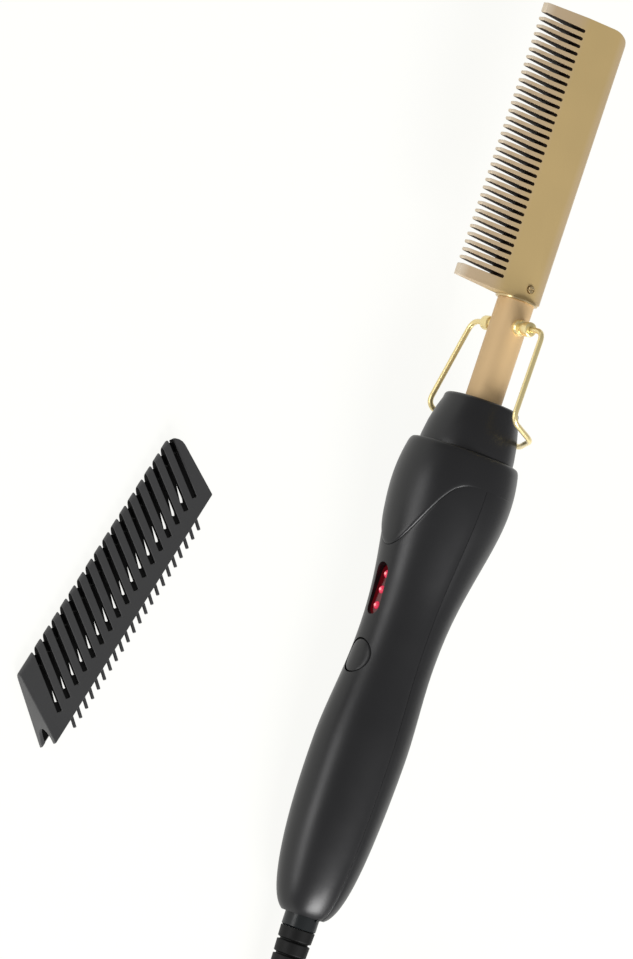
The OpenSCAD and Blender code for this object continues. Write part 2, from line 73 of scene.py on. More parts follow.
# %% From the comb's own axes to the table
PITCH = math.radians(4.7)
SET = Vector((-124.2, -49.4, 9.66))
HEAD_END = 283.2


def lay(x, y, z):
    """A point of the comb, in millimetres, as a point of the frame, in metres."""
    c, s = math.cos(PITCH), math.sin(PITCH)
    return Vector((x * c - z * s + SET.x, y + SET.y, x * s + z * c + SET.z)) * MM


def on_table(x, y, z):
    """A point beside the comb, in millimetres, as a point of the frame, in metres."""
    return Vector((x + SET.x, y + SET.y, z)) * MM


print("the end of the head lies", round(lay(HEAD_END, 0, 0).z / MM, 1), "mm above the table")

# %% [markdown]
# The camera looks down at the set from the side of the teeth, rolled so that the comb runs up
# the picture. A camera is often aimed with a Track To constraint; here its place and lens were
# worked out from sizes that are known on the comb, so it is clearer to give the three
# directions themselves: right, up, and back towards the camera. Together they are the columns
# of its rotation matrix.

# %% The camera
RIGHT = Vector((0.26913, -0.76634, 0.58335))
UP = Vector((0.95278, 0.30030, -0.04506))
BACK = Vector((-0.14065, 0.56793, 0.81097))
CAMERA_PLACE = Vector((-193.09, 775.99, 1128.91)) * MM


def into_scene(name, data):
    """A new object with this data, linked to the scene."""
    made = bpy.data.objects.new(name, data)
    bpy.context.scene.collection.objects.link(made)
    return made


camera = into_scene("camera", bpy.data.cameras.new("camera"))
camera.data.lens = 174.7
camera.data.clip_start = 0.05
camera.data.clip_end = 20
turn = Matrix((RIGHT, UP, BACK)).transposed().to_4x4()
camera.matrix_world = Matrix.Translation(CAMERA_PLACE) @ turn
bpy.context.scene.camera = camera
bpy.context.scene.view_settings.view_transform = "Standard"
print("camera", round(camera.matrix_world.translation.length, 2), "m from the middle of the set")

# %% [markdown]
# A real lead is far longer than the comb, and it is put away as a tied coil behind the handle.
# A simulation could drop it there, but a rule gives the same result every time: two flat layers
# of turns, the lower one wound inwards and the upper one back out, so no turn passes through
# another. The path comes first, because the length of the lead decides how far the coil winds.

# %% The path of the lead
CORD_R = 3.0
BOW = 3.5  # how far the butt and the start of the lead lie towards the teeth
COIL = Vector((-75.0, -41.4))
OUTER, INNER, TURNS = 44.9, 26.3, 3.0
LOWER, UPPER, TOP = 3.1, 9.2, 15.3  # heights of the lead's middle
TAIL_X, TAIL_Y, TAIL_R, TAIL_RISE = -80.7, -31.5, 33.5, 0.9


def ease(u):
    """A soft step from 0 to 1."""
    v = min(1.0, max(0.0, u))
    return v * v * (3 - 2 * v)


def spiral(r0, r1, a0, a1, z0, z1):
    """Points about the coil's middle, between two radii, two angles and two heights."""
    steps = max(4, round((a1 - a0) / 15))
    found = []
    for i in range(1, steps + 1):
        u = i / steps
        a = math.radians(a0 + (a1 - a0) * u)
        r = r0 + (r1 - r0) * u
        found.append((COIL.x + r * math.cos(a), COIL.y + r * math.sin(a), z0 + (z1 - z0) * ease(u)))
    return found


exit_point = (-34.2, BOW, 6.85)
path = [exit_point]
path += [(x, BOW, z) for x, z in ((-38, 6.5), (-45, 5.7), (-54, 4.6), (-64, 3.5), (-75, LOWER))]
path += spiral(OUTER, INNER, 90, 90 + 360 * TURNS, LOWER, LOWER)
path += spiral(INNER, INNER, 90, 190, LOWER, UPPER)
path += spiral(INNER, OUTER, 190, 60 + 360 * TURNS, UPPER, UPPER)
path += spiral(OUTER, OUTER, 60, 120, UPPER, TOP)
for degrees in range(135, 271, 15):
    a = math.radians(degrees)
    x, y = TAIL_X + TAIL_R * math.cos(a), TAIL_Y + TAIL_R * math.sin(a)
    path.append((x, y, TOP + (degrees - 120) / 150 * TAIL_RISE))
path = [on_table(*p) for p in path]
print("points along the lead:", len(path))

# %% [markdown]
# The lead is a round black cable. A mesh tube would work, but a poly curve with a round bevel
# follows the path exactly and keeps its own middle line, and that line is what the frame
# measures as the length. Cutting the corners of the path once makes its bends smooth.

# %% The lead
def curve_through(name, points, radius, sides=4):
    """A round bar along points, as a curve object."""
    data = bpy.data.curves.new(name, "CURVE")
    data.dimensions = "3D"
    data.bevel_depth = radius
    data.bevel_resolution = sides
    data.use_fill_caps = True
    line = data.splines.new("POLY")
    line.points.add(len(points) - 1)
    for spot, p in zip(line.points, points):
        spot.co = (*p, 1)
    line.use_smooth = True
    return into_scene(name, data)


def smoothed(points):
    """Cut the corners of a polyline: every piece of it keeps its middle half."""
    cut = [points[0]]
    for a, b in zip(points, points[1:]):
        cut += [a.lerp(b, 0.25), a.lerp(b, 0.75)]
    return cut + [points[-1]]


lead_line = smoothed(path)
lead_length = sum((b - a).length for a, b in zip(lead_line, lead_line[1:]))
lead = curve_through("mains_lead", lead_line, CORD_R * MM)
print("length of the lead:", round(lead_length, 3), "m")

# %% [markdown]
# ## Finishes
# Moulded plastic and plated metal both carry a very fine grain, and hands leave them a little
# shinier in some places. An image could hold both, but noise has no seams and no resolution.
# Several materials need the same effect, so it is one shader group with its own inputs: a fine
# noise comes out as a height for a Bump node, and a slow one varies the roughness.

# %% The grain group
def grain_group():
    """A fine noise as a height, and a slow one spread between two values of roughness."""
    group = bpy.data.node_groups.new("surface_grain", "ShaderNodeTree")
    for label in ("Scale", "Low", "High"):
        group.interface.new_socket(label, in_out="INPUT", socket_type="NodeSocketFloat")
    for label in ("Height", "Roughness"):
        group.interface.new_socket(label, in_out="OUTPUT", socket_type="NodeSocketFloat")
    n, link = group.nodes, group.links.new
    given, out = n.new("NodeGroupInput"), n.new("NodeGroupOutput")
    place = n.new("ShaderNodeTexCoord")
    fine = n.new("ShaderNodeTexNoise")
    fine.inputs["Detail"].default_value = 2
    slow = n.new("ShaderNodeTexNoise")
    slow.inputs["Scale"].default_value = 60
    slow.inputs["Detail"].default_value = 3
    spread = n.new("ShaderNodeMapRange")
    spread.inputs["From Min"].default_value = 0.3
    spread.inputs["From Max"].default_value = 0.7
    link(place.outputs["Object"], fine.inputs["Vector"])
    link(place.outputs["Object"], slow.inputs["Vector"])
    link(given.outputs["Scale"], fine.inputs["Scale"])
    link(slow.outputs["Fac"], spread.inputs["Value"])
    link(given.outputs["Low"], spread.inputs["To Min"])
    link(given.outputs["High"], spread.inputs["To Max"])
    link(fine.outputs["Fac"], out.inputs["Height"])
    link(spread.outputs["Result"], out.inputs["Roughness"])
    return group


GRAIN = grain_group()
print("sockets of the grain:", [socket.name for socket in GRAIN.interface.items_tree])

# %% [markdown]
# One helper makes every plain finish, so that each of them is a single readable line: a colour,
# the lowest and highest roughness, and where needed metal, less shine or a glow. What is the same
# all over the surface is set on the shader itself; only what changes comes from the group. The
# black of the handle, with its soft sheen, is the first.

# %% A finish in one line
def finish_of(name, colour, rough, metal=0.0, grain=3000, depth=0.00002, shine=0.5, glow=None):
    """A material with the grain group; rough is (lowest, highest) over the surface."""
    material = bpy.data.materials.new(name)
    material.use_nodes = True
    n, link = material.node_tree.nodes, material.node_tree.links.new
    shader = n["Principled BSDF"]
    shader.inputs["Base Color"].default_value = (*colour, 1)
    shader.inputs["Metallic"].default_value = metal
    shader.inputs["Specular IOR Level"].default_value = shine
    surface = n.new("ShaderNodeGroup")
    surface.node_tree = GRAIN
    surface.inputs["Scale"].default_value = grain
    surface.inputs["Low"].default_value, surface.inputs["High"].default_value = rough
    bump = n.new("ShaderNodeBump")
    bump.inputs["Strength"].default_value = 0.5
    bump.inputs["Distance"].default_value = depth
    link(surface.outputs["Height"], bump.inputs["Height"])
    link(bump.outputs["Normal"], shader.inputs["Normal"])
    link(surface.outputs["Roughness"], shader.inputs["Roughness"])
    if glow:
        shader.inputs["Emission Color"].default_value = (*glow[0], 1)
        shader.inputs["Emission Strength"].default_value = glow[1]
    return material


BLACK = finish_of("black_moulding", (0.008, 0.008, 0.009), (0.33, 0.41), grain=4000)
print("the first finish:", BLACK.name)

# %% [markdown]
# The comb head is plated all over, but its teeth and the rounded spine catch the light at other
# angles and look paler and pinker than the flat. Light alone shows only part of that, so the
# colour changes a little across the head: a colour ramp is read along the y axis of the Object
# coordinates, from the spine to the tips.

# %% The finish of the comb head
def tinted_along(material, low, high, stops):
    """Colour along y: stops are (share of the way from low to high, colour)."""
    n, link = material.node_tree.nodes, material.node_tree.links.new
    place, apart = n.new("ShaderNodeTexCoord"), n.new("ShaderNodeSeparateXYZ")
    share, ramp = n.new("ShaderNodeMapRange"), n.new("ShaderNodeValToRGB")
    share.inputs["From Min"].default_value, share.inputs["From Max"].default_value = low, high
    for at, colour in stops[1:-1]:
        ramp.color_ramp.elements.new(at).color = (*colour, 1)
    ramp.color_ramp.elements[0].color = (*stops[0][1], 1)
    ramp.color_ramp.elements[-1].color = (*stops[-1][1], 1)
    link(place.outputs["Object"], apart.inputs[0])
    link(apart.outputs["Y"], share.inputs["Value"])
    link(share.outputs["Result"], ramp.inputs["Fac"])
    link(ramp.outputs["Color"], n["Principled BSDF"].inputs["Base Color"])
    return material


FLAT_GOLD = (0.61, 0.445, 0.20)
ACROSS_THE_HEAD = [
    (0, (0.66, 0.52, 0.36)),
    (0.13, FLAT_GOLD),
    (0.48, FLAT_GOLD),
    (0.62, (0.60, 0.45, 0.27)),
    (0.9, (0.63, 0.48, 0.31)),
    (1, (0.80, 0.68, 0.52)),
]
SPINE_Y, TIP_Y = -5.6, 24.3
gold = finish_of("gold_head", FLAT_GOLD, (0.48, 0.56), metal=0.5, grain=2200, depth=0.00004)
HEAD = tinted_along(gold, (SET.y + SPINE_Y) * MM, (SET.y + TIP_Y) * MM, ACROSS_THE_HEAD)
print(HEAD.name, "runs from", round(SET.y + SPINE_Y, 1), "to", round(SET.y + TIP_Y, 1), "mm")

# %% [markdown]
# The other finishes follow the real pieces: half-gloss gold on the neck, bright gold wire, a
# guard that is duller and slightly lighter than the handle, and near-black rubber. The lamps are
# lit, so their domes and cores give off light of their own.

# %% The other finishes
NECK = finish_of("gold_neck", (0.74, 0.52, 0.275), (0.56, 0.64), metal=0.35, grain=2200, depth=0.00004)
WIRE = finish_of("gold_wire", (0.95, 0.79, 0.40), (0.26, 0.34), metal=0.75, depth=0.0)
GUARD = finish_of("guard_moulding", (0.048, 0.048, 0.049), (0.42, 0.52))
# painted shade: the faces under the guard's roof and in its slots lie in shade, so they get near black
# with hardly any shine
GUARD_PAINTED_SHADE = finish_of("guard_inside", (0.003, 0.003, 0.003), (0.7, 0.8), shine=0.06)
RUBBER = finish_of("black_rubber", (0.004, 0.004, 0.004), (0.46, 0.56), grain=5000, shine=0.22)
SOCKET = finish_of("socket_grey", (0.010, 0.012, 0.013), (0.28, 0.36), shine=0.35)
STEEL = finish_of("plated_steel", (0.66, 0.64, 0.60), (0.22, 0.32), metal=1.0, depth=0.0)
SCREW = finish_of("screw_gold", (0.62, 0.47, 0.25), (0.25, 0.33), metal=0.9, depth=0.0)
# painted shade: the deep, narrow slots of the head lie in shade, so their walls get this dark colour
PAINTED_SLOT_SHADE = finish_of("slot_wall", (0.055, 0.035, 0.022), (0.6, 0.7), metal=0.2, shine=0.1)
LENS = finish_of("lens_red", (0.05, 0.002, 0.004), (0.10, 0.16), glow=((1.0, 0.01, 0.03), 0.05))
LAMP = finish_of("lamp_glow", (0.6, 0.04, 0.08), (0.2, 0.3), glow=((1.0, 0.03, 0.10), 0.42))
CORE = finish_of("lamp_core", (0.9, 0.25, 0.3), (0.2, 0.3), glow=((1.0, 0.30, 0.30), 0.9))
TIE = finish_of("tie_grey", (0.05, 0.05, 0.055), (0.6, 0.7))
print("finishes:", ", ".join(sorted(material.name for material in bpy.data.materials)))

# %% [markdown]
# ## Helpers for shapes
# Handle, hood, collar and button are all round or nearly so. Each could be a primitive pushed
# about with modifiers, but a skin of rings is easier to steer: rows of points, worked out by a
# rule and joined into quads. One helper builds the faces, another makes them an object with
# outward normals, smooth shading and sharp edges where the surface really turns.

# %% Meshes from rings
def from_bmesh(name, bm, materials):
    """An object out of a bmesh, which is then gone."""
    mesh = bpy.data.meshes.new(name)
    bm.to_mesh(mesh)
    bm.free()
    for material in materials:
        mesh.materials.append(material)
    return into_scene(name, mesh)


def finish_mesh(name, bm, material, smooth_angle=40):
    """A smooth-shaded object from a bmesh, with its sharp edges marked by angle."""
    bmesh.ops.recalc_face_normals(bm, faces=bm.faces)
    limit = math.radians(smooth_angle)
    for face in bm.faces:
        face.smooth = True
    for edge in bm.edges:
        edge.smooth = not (edge.is_manifold and edge.calc_face_angle(0) > limit)
    return from_bmesh(name, bm, [material])


def rings_to_bmesh(rings, closed=True, caps=True, looped=False):
    """Join rows of points with quads; looped joins the last row to the first, as in a tyre."""
    bm = bmesh.new()
    rows = [[bm.verts.new(p) for p in ring] for ring in rings]
    count = len(rows[0])
    for a, b in zip(rows, rows[1:] + rows[:1] if looped else rows[1:]):
        for k in range(count if closed else count - 1):
            k2 = (k + 1) % count
            bm.faces.new((a[k], a[k2], b[k2], b[k]))
    if caps:
        bm.faces.new(rows[0][::-1])
        bm.faces.new(rows[-1])
    return bm


def round_angles(sides, shift=0.0):
    """Evenly spaced angles of one full turn."""
    return [2 * math.pi * (k + shift) / sides for k in range(sides)]


def revolve(name, profile, place, material, sides=96, angle=30):
    """Turn (radius, height) pairs round an axis; place(r, a, h) gives the point."""
    rings = [[place(r, a, h) for a in round_angles(sides)] for r, h in profile]
    return finish_mesh(name, rings_to_bmesh(rings), material, angle)


def along_comb(y0=0.0):
    """Placer for shapes turned about the comb's own axis, or about a line beside it."""
    return lambda r, a, h: lay(h, y0 + r * math.cos(a), r * math.sin(a))


test_tube = rings_to_bmesh([[(math.cos(a), math.sin(a), z) for a in round_angles(6)] for z in (0, 1, 2)])
print("three rings of six points make", len(test_tube.faces), "faces with the caps")
test_tube.free()

# %% [markdown]
# Some helpers work on what is already made: one opens meshes for editing, one joins objects,
# and two turn a curve or modifiers into plain mesh. Applying a modifier with an operator would
# depend on what is selected; a new mesh from the evaluated object always gives the same result.

# %% Meshes from meshes
def bmesh_of(*meshes):
    """One bmesh out of one or more meshes."""
    bm = bmesh.new()
    for mesh in meshes:
        bm.from_mesh(mesh)
    return bm


def joined(name, parts):
    """One object out of several that share their materials."""
    made = from_bmesh(name, bmesh_of(*[part.data for part in parts]), parts[0].data.materials)
    for part in parts:
        bpy.data.objects.remove(part)
    return made


def evaluated_mesh(made):
    """The plain mesh that an object's curve or modifiers give."""
    return bpy.data.meshes.new_from_object(made.evaluated_get(bpy.context.evaluated_depsgraph_get()))


def applied(made):
    """The object with its modifiers turned into plain mesh."""
    mesh = evaluated_mesh(made)
    made.modifiers.clear()
    made.data = mesh
    return made


lead_mesh = evaluated_mesh(lead)
print("the lead as a mesh would have", len(lead_mesh.polygons), "faces")
bpy.data.meshes.remove(lead_mesh)

# %% [markdown]
# Pieces move only with the body they ride on. Each finished piece is parented to that body, the
# plain solids it stands in for are hidden, and its size is printed.

# %% Handing a piece to the frame
def place_on(made, body, slot, *nodes):
    """Attach a piece to the body it rides on and hide the plain nodes it replaces, if any; slot is not
    used.
    """
    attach(made, body)
    if nodes:
        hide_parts(*nodes)
    low, high = made.bound_box[0], made.bound_box[6]
    sides = " x ".join(f"{(b - a) / MM:.1f}" for a, b in zip(low, high))
    print(f"{made.name}: {sides} mm, rides on {body}")


# %% [markdown]
# ## Rows and rules with Geometry Nodes
# Teeth, ribs and lamps repeat at an even pitch. A loop in Python could place them, but a
# geometry tree keeps the rule itself: it holds the count, the pitch and the sizes as named
# inputs, so one number changes the whole row. Each tree is run on an empty object, every input
# is set by its socket's identifier before the first look at the result, and the result is kept
# as plain mesh, because an export can't carry instances or a live tree.

# %% Building and running a tree
FLOAT, COUNT, VECTOR = "NodeSocketFloat", "NodeSocketInt", "NodeSocketVector"
OBJECT, MATERIAL = "NodeSocketObject", "NodeSocketMaterial"
COMB_AXES = Matrix.Rotation(-PITCH, 4, "Y")
COMB_AXES.translation = SET * MM


def new_tree(name, inputs):
    """A geometry tree with named inputs, and its input and output nodes."""
    tree = bpy.data.node_groups.new(name, "GeometryNodeTree")
    tree.interface.new_socket("Geometry", in_out="OUTPUT", socket_type="NodeSocketGeometry")
    for label, kind in inputs:
        tree.interface.new_socket(label, in_out="INPUT", socket_type=kind)
    return tree, tree.nodes.new("NodeGroupInput"), tree.nodes.new("NodeGroupOutput")


def finish_tree(tree, shape, material, given, out):
    """Every tree ends the same way: real mesh instead of instances, then the material."""
    real = tree.nodes.new("GeometryNodeRealizeInstances")
    coat = tree.nodes.new("GeometryNodeSetMaterial")
    tree.links.new(shape, real.inputs["Geometry"])
    tree.links.new(real.outputs["Geometry"], coat.inputs["Geometry"])
    tree.links.new(given.outputs[material], coat.inputs["Material"])
    tree.links.new(coat.outputs["Geometry"], out.inputs["Geometry"])


def inputs_of(tree):
    """The names of a tree's inputs, in order."""
    return [socket.name for socket in tree.interface.items_tree if socket.in_out == "INPUT"]


def run_tree(name, tree, **values):
    """Run the tree with these values and return a plain mesh object."""
    made = into_scene(name, bpy.data.meshes.new(name))
    run = made.modifiers.new(name, "NODES")
    run.node_group = tree
    for socket in tree.interface.items_tree:
        if socket.in_out == "INPUT":
            run[socket.identifier] = values[socket.name.replace(" ", "_").lower()]
    return applied(made)


def into_place(made, axes):
    """Bake a placing into the mesh, so that the object itself stays at the origin."""
    made.data.transform(axes)
    return made


def maths(tree, operation, *values):
    """A Math node; each value is a number or another node's output."""
    node = tree.nodes.new("ShaderNodeMath")
    node.operation = operation
    for socket, value in zip(node.inputs, values):
        if isinstance(value, (int, float)):
            socket.default_value = value
        else:
            tree.links.new(value, socket)
    return node.outputs[0]


print("the comb's axes start at", [round(v / MM, 1) for v in COMB_AXES.translation], "mm")

# %% [markdown]
# Flat-sided pieces, such as the plug and the guard, are already right in the engineering model
# except for their edges. Building them anew would only invite errors, so a copy of the node is
# merged, its flat faces are joined again, and a small bevel rounds the edges. No moulded or
# machined edge is perfectly sharp, and the rounding is what catches the light.

# %% Softened copies of nodes
def merged(mesh):
    """A bmesh with the doubles merged and the flat faces joined again."""
    bm = bmesh_of(mesh)
    bmesh.ops.remove_doubles(bm, verts=bm.verts, dist=2e-6)
    bmesh.ops.dissolve_limit(bm, angle_limit=math.radians(0.6), verts=bm.verts, edges=bm.edges)
    return bm


def bevelled(made, width, angle=30, segments=2, clamp=True):
    """Round every edge sharper than the angle; the width is in millimetres."""
    bevel = made.modifiers.new("bevel", "BEVEL")
    bevel.width, bevel.segments = width * MM, segments
    bevel.limit_method, bevel.angle_limit = "ANGLE", math.radians(angle)
    bevel.use_clamp_overlap, bevel.harden_normals = clamp, True
    return applied(made)


def softened(node, name, width, material, segments=2, clamp=True):
    """A copy of a plain node with its edges rounded."""
    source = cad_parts[node].data
    made = finish_mesh(name, merged(source), material, 30)
    bevelled(made, width, segments=segments, clamp=clamp)
    print(f"{name}: {len(source.polygons)} loose triangles became {len(made.data.polygons)} faces")
    return made


print("the plain plug has", len(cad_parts["plug_body"].data.polygons), "loose triangles")

# %% [markdown]
# ## The handle
# The grip is one flowing shape: a belly near the butt, a waist behind the lamps and a bulb at
# the head end, bowed a little so that it follows the palm, and deeper than it is wide. It could
# be sculpted, but then the hood, the seam, the window and the button would each have to be
# fitted by eye. A radius and a middle line as functions of x let all of them use one surface.

# %% The rule of the grip
DEEP, WIDE = 1.05, 0.885
BELLY_X, WAIST_X, BULB_X = 53, 84, 135
BELLY_R, WAIST_R, BULB_R = 14.3, 12.7, 18.4
NOSE_DROP, NOSE_LENGTH = 3.4, 18.6
BOW_FROM, BOW_OVER = 20, 130


def grip_r(x):
    """The radius: a round butt, an ease from belly to waist to bulb, then a falling curve."""
    if x < BELLY_X:
        return BELLY_R * (1 - (1 - x / BELLY_X) ** 2.1) ** 0.25
    if x < WAIST_X:
        return BELLY_R + (WAIST_R - BELLY_R) * ease((x - BELLY_X) / (WAIST_X - BELLY_X))
    if x < BULB_X:
        return WAIST_R + (BULB_R - WAIST_R) * ease(((x - WAIST_X) / (BULB_X - WAIST_X)) ** 1.25)
    return BULB_R - NOSE_DROP * ((x - BULB_X) / NOSE_LENGTH) ** 2


def grip_y(x):
    """The middle line: bowed at the butt, straight at the bulb."""
    return BOW * (1 - ease((x - BOW_FROM) / BOW_OVER))


def on_grip(x, a, off=0.0):
    """A point on the grip, off millimetres outside it; a is counted from the button side."""
    r = grip_r(x)
    return x, grip_y(x) + (r * DEEP + off) * math.cos(a), (r * WIDE + off) * math.sin(a)


print("radius at belly, waist and bulb:", [round(grip_r(x), 1) for x in (BELLY_X, WAIST_X, BULB_X)], "mm")

# %% [markdown]
# The hood's lower edge is a tongue on the button side that sweeps up the flank and fades out
# before it reaches the seam. It is a curve on the grip's surface: a quartic in y says how far
# the tongue reaches, and halving an interval finds where each angle meets it.

# %% The hood's edge
HOOD_START, HOOD_PROUD = 137.6, 0.5
TONGUE, TONGUE_HALF = 22, 17.2


def hood_edge(y):
    """The x where the hood starts, at height y over the comb's axis."""
    return HOOD_START - TONGUE * (max(0.0, y) / TONGUE_HALF) ** 4


def faded(a):
    """How far the hood's step shows at angle a: full on the button side, none at the back."""
    return ease((math.cos(a) - 0.12) / 0.66)


def edge_x(a):
    """Where the hood ends at angle a round the grip."""
    low, high = 100.0, 139.0
    for _ in range(40):
        mid = (low + high) / 2
        if mid > hood_edge(on_grip(mid, a, HOOD_PROUD * faded(a))[1]):
            high = mid
        else:
            low = mid
    return high


print("the hood's edge runs from x =", round(edge_x(0), 1), "to", round(edge_x(math.pi), 1), "mm")

# %% [markdown]
# The handle is moulded as two half shells that meet on a seam along both flanks. A boolean cut
# through one solid would leave a crack without lips. Here each half is its own skin of rings
# that dips inwards over the last tenths of a millimetre, so the joint shows as the fine dark
# line it is on the real handle. Solidify then gives the skin the wall of a moulding.

# %% The two shells
SHELL_COLUMNS, SHELL_ROWS = 61, 96
BUTT_X, NEAR_THE_HOOD = 1.2, 131
FROM_SEAM = (0.04, 0.05, 0.18)
SUNK_AT_SEAM = (-0.9, -0.06)
UNDER_THE_HOOD = ((-0.3, 0.0), (-0.1, 0.04), (0.0, 0.16), (0.5, 0.9))


def shell_angle(side, x, k):
    """The angle of column k; the outer three on each flank keep a set distance from the seam."""
    seam = math.acos(max(-1, min(1, -grip_y(x) / (grip_r(x) * DEEP))))
    start, stop = (seam, -seam) if side > 0 else (seam, 2 * math.pi - seam)
    from_stop = SHELL_COLUMNS - 1 - k
    if k < len(FROM_SEAM):
        return start - side * FROM_SEAM[k] / grip_r(x)
    if from_stop < len(FROM_SEAM):
        return stop + side * FROM_SEAM[from_stop] / grip_r(x)
    return start + (stop - start) * k / (SHELL_COLUMNS - 1)


def shell(side, name):
    """One half: its rings, closer together at the butt, run to the hood's edge and dip under it."""
    ends = [edge_x(shell_angle(side, NEAR_THE_HOOD, k)) for k in range(SHELL_COLUMNS)]
    stations = [(row / SHELL_ROWS, 0.0, 0.0) for row in range(SHELL_ROWS)]
    stations += [(1, past, dip) for past, dip in UNDER_THE_HOOD]
    rings = []
    for u, past, dip in stations:
        ring = []
        for k, end in enumerate(ends):
            x = BUTT_X + (end - BUTT_X) * (u**1.5 * 0.55 + u * 0.45) + past
            a = shell_angle(side, x, k)
            shows = 1.0 if dip > 0.5 else max(0.1, faded(a))
            column = min(k, SHELL_COLUMNS - 1 - k)
            sunk = SUNK_AT_SEAM[column] if column < len(SUNK_AT_SEAM) else 0.0
            ring.append(lay(*on_grip(x, a, sunk - dip * shows)))
        rings.append(ring)
    made = finish_mesh(name, rings_to_bmesh(rings, closed=False, caps=False), BLACK, 60)
    wall = made.modifiers.new("wall", "SOLIDIFY")
    wall.thickness, wall.offset = 2.0 * MM, -1
    return applied(made)


front, back = shell(1, "front_shell_skin"), shell(-1, "back_shell_skin")
for made in (front, back):
    bm = bmesh_of(made.data)
    print(made.name, "volume", round(bm.calc_volume() * 1e9), "mm3")
    bm.free()

# %% [markdown]
# The front half has two openings on its narrow side: a long window for the lamps and a round
# hole for the button. Leaving gaps in the rings would give jagged edges, so two simple bars, one
# stretched and one round, are cut through with exact booleans, and a small bevel rounds the lip.

# %% The openings in the front shell
LAMP_X, WINDOW_HALF, WINDOW_R = 100.4, 5.3, 2.7
BUTTON_X, BUTTON_R, BUTTON_GAP = 79.5, 5.3, 0.22


def bar_through(name, x, half_len, r, y0, y1, material=BLACK):
    """A bar along the comb's y axis; its outline is a circle pulled apart by half_len each way."""
    outline = []
    for a in round_angles(48):
        shift = half_len if math.cos(a) > 0 else -half_len
        outline.append((x + shift + r * math.cos(a), r * math.sin(a)))
    rings = [[lay(px, y, pz) for px, pz in outline] for y in (y0, y1)]
    return finish_mesh(name, rings_to_bmesh(rings), material)


def combined(made, other, operation):
    """Cut or trim a piece with another one, which is then gone."""
    step = made.modifiers.new(operation.lower(), "BOOLEAN")
    step.object, step.operation, step.solver = other, operation, "EXACT"
    applied(made)
    bpy.data.objects.remove(other)
    return made


combined(front, bar_through("cut_window", LAMP_X, WINDOW_HALF, WINDOW_R, 6, 30), "DIFFERENCE")
combined(front, bar_through("cut_button", BUTTON_X, 0.0, BUTTON_R + BUTTON_GAP, 6, 30), "DIFFERENCE")
bevelled(front, 0.25, angle=50)
print("front shell after its openings:", len(front.data.polygons), "faces")
place_on(front, "comb", "black_gloss", "front_shell")
place_on(back, "comb", "black_gloss", "back_shell")

# %% [markdown]
# The hood is a separate cap over the front of the shells, half a millimetre proud of them. Its
# rings start on the edge that was worked out above and run to the collar. The first few curve
# outwards as a soft lip, and the step dies away where the real one does, before the seam.

# %% The hood
RIM_START, HOOD_END, HOOD_BORE_R = 145.6, 147.6, 13.6
HOOD_LIP = [(0.55, -1.2), (0.05, -0.35), (0.0, -0.02)]
HOOD_LIP += [(0.2, 0.2), (0.6, 0.37), (1.1, 0.46), (1.7, HOOD_PROUD)]
HOOD_RIM = [(146.2, -0.03), (146.8, -0.12), (147.25, -0.3), (147.5, -0.55), (HOOD_END, -0.85)]


def hood(columns=160, rows=44):
    """Rings of the hood: the lip that follows its edge, the skin, the rim and the bore."""
    angles = round_angles(columns, 0.5)
    edges = [edge_x(a) for a in angles]
    lip_end = HOOD_LIP[-1][0]
    rings = []
    for past, off in HOOD_LIP:
        offs = [off * faded(a) if off > 0 else off for a in angles]
        rings.append([lay(*on_grip(edge + past, a, own)) for a, edge, own in zip(angles, edges, offs)])
    for i in range(1, rows + 1):
        u = i / rows
        ring = []
        for a, edge in zip(angles, edges):
            x = edge + lip_end + (RIM_START - edge - lip_end) * u
            ring.append(lay(*on_grip(x, a, HOOD_PROUD * faded(a))))
        rings.append(ring)
    for x, off in HOOD_RIM:
        rings.append([lay(*on_grip(x, a, HOOD_PROUD * faded(a) + off)) for a in angles])
    bore = [(HOOD_BORE_R * math.cos(a), HOOD_BORE_R * math.sin(a)) for a in angles]
    rings.append([lay(HOOD_END, grip_y(HOOD_END) + y, z) for y, z in bore])
    return finish_mesh("hood_skin", rings_to_bmesh(rings, caps=False, looped=True), BLACK, 50)


hood_skin = hood()
place_on(hood_skin, "comb", "black_gloss", "handle_hood")

# %% [markdown]
# The power button is a round cap that sits flush in its hole. A flat disc would stand out of
# the curved grip on two sides, so every point of its face takes its height from the grip's own
# rule, a hair below it, and only the rim is rounded. It rides on its own body, since it moves.

# %% The button
BUTTON_FACE = [(0.4, 0.05), (1.6, 0.05), (3.0, 0.06), (4.2, 0.08), (4.7, 0.12), (5.0, 0.22), (5.2, 0.42)]
BUTTON_FACE += [(BUTTON_R, 0.8)]
BUTTON_FOOT = 12.2


def grip_height(x, z):
    """The y of the grip's surface above the point x, z."""
    r = grip_r(x)
    return grip_y(x) + r * DEEP * math.sqrt(max(0.0, 1 - (z / (r * WIDE)) ** 2))


def button():
    """A cap whose face follows the grip; the pairs are radius and drop below its surface."""
    angles = round_angles(64)
    rings = []
    for r, drop in BUTTON_FACE:
        ring = []
        for a in angles:
            x, z = BUTTON_X + r * math.cos(a), r * math.sin(a)
            ring.append(lay(x, grip_height(x, z) - drop, z))
        rings.append(ring)
    foot = [(BUTTON_X + BUTTON_R * math.cos(a), BUTTON_R * math.sin(a)) for a in angles]
    rings.append([lay(x, BUTTON_FOOT, z) for x, z in foot])
    return finish_mesh("button_cap", rings_to_bmesh(rings), BLACK, 40)


cap = button()
place_on(cap, "button", "button_black", "power_button")

# %% [markdown]
# A dark red lens lies at the bottom of the window. It is the same stretched bar that cut the
# opening, only thinner and a touch smaller, so it fits by construction.

# %% The window's lens
LENS_BACK, LENS_FACE = 12.4, 13.6
lens = bar_through("lens", LAMP_X, WINDOW_HALF, WINDOW_R - 0.02, LENS_BACK, LENS_FACE, LENS)
place_on(lens, "comb", "lens_red", "window_lens")

# %% [markdown]
# Three lamps stand in a row in the lens, their domes a little proud of it, each with a small
# hot core. Six separate balls would do, but a row is a rule: a Mesh Line gives the places, a UV
# sphere is put on each and flattened by its scale. One tree makes the domes and the cores.

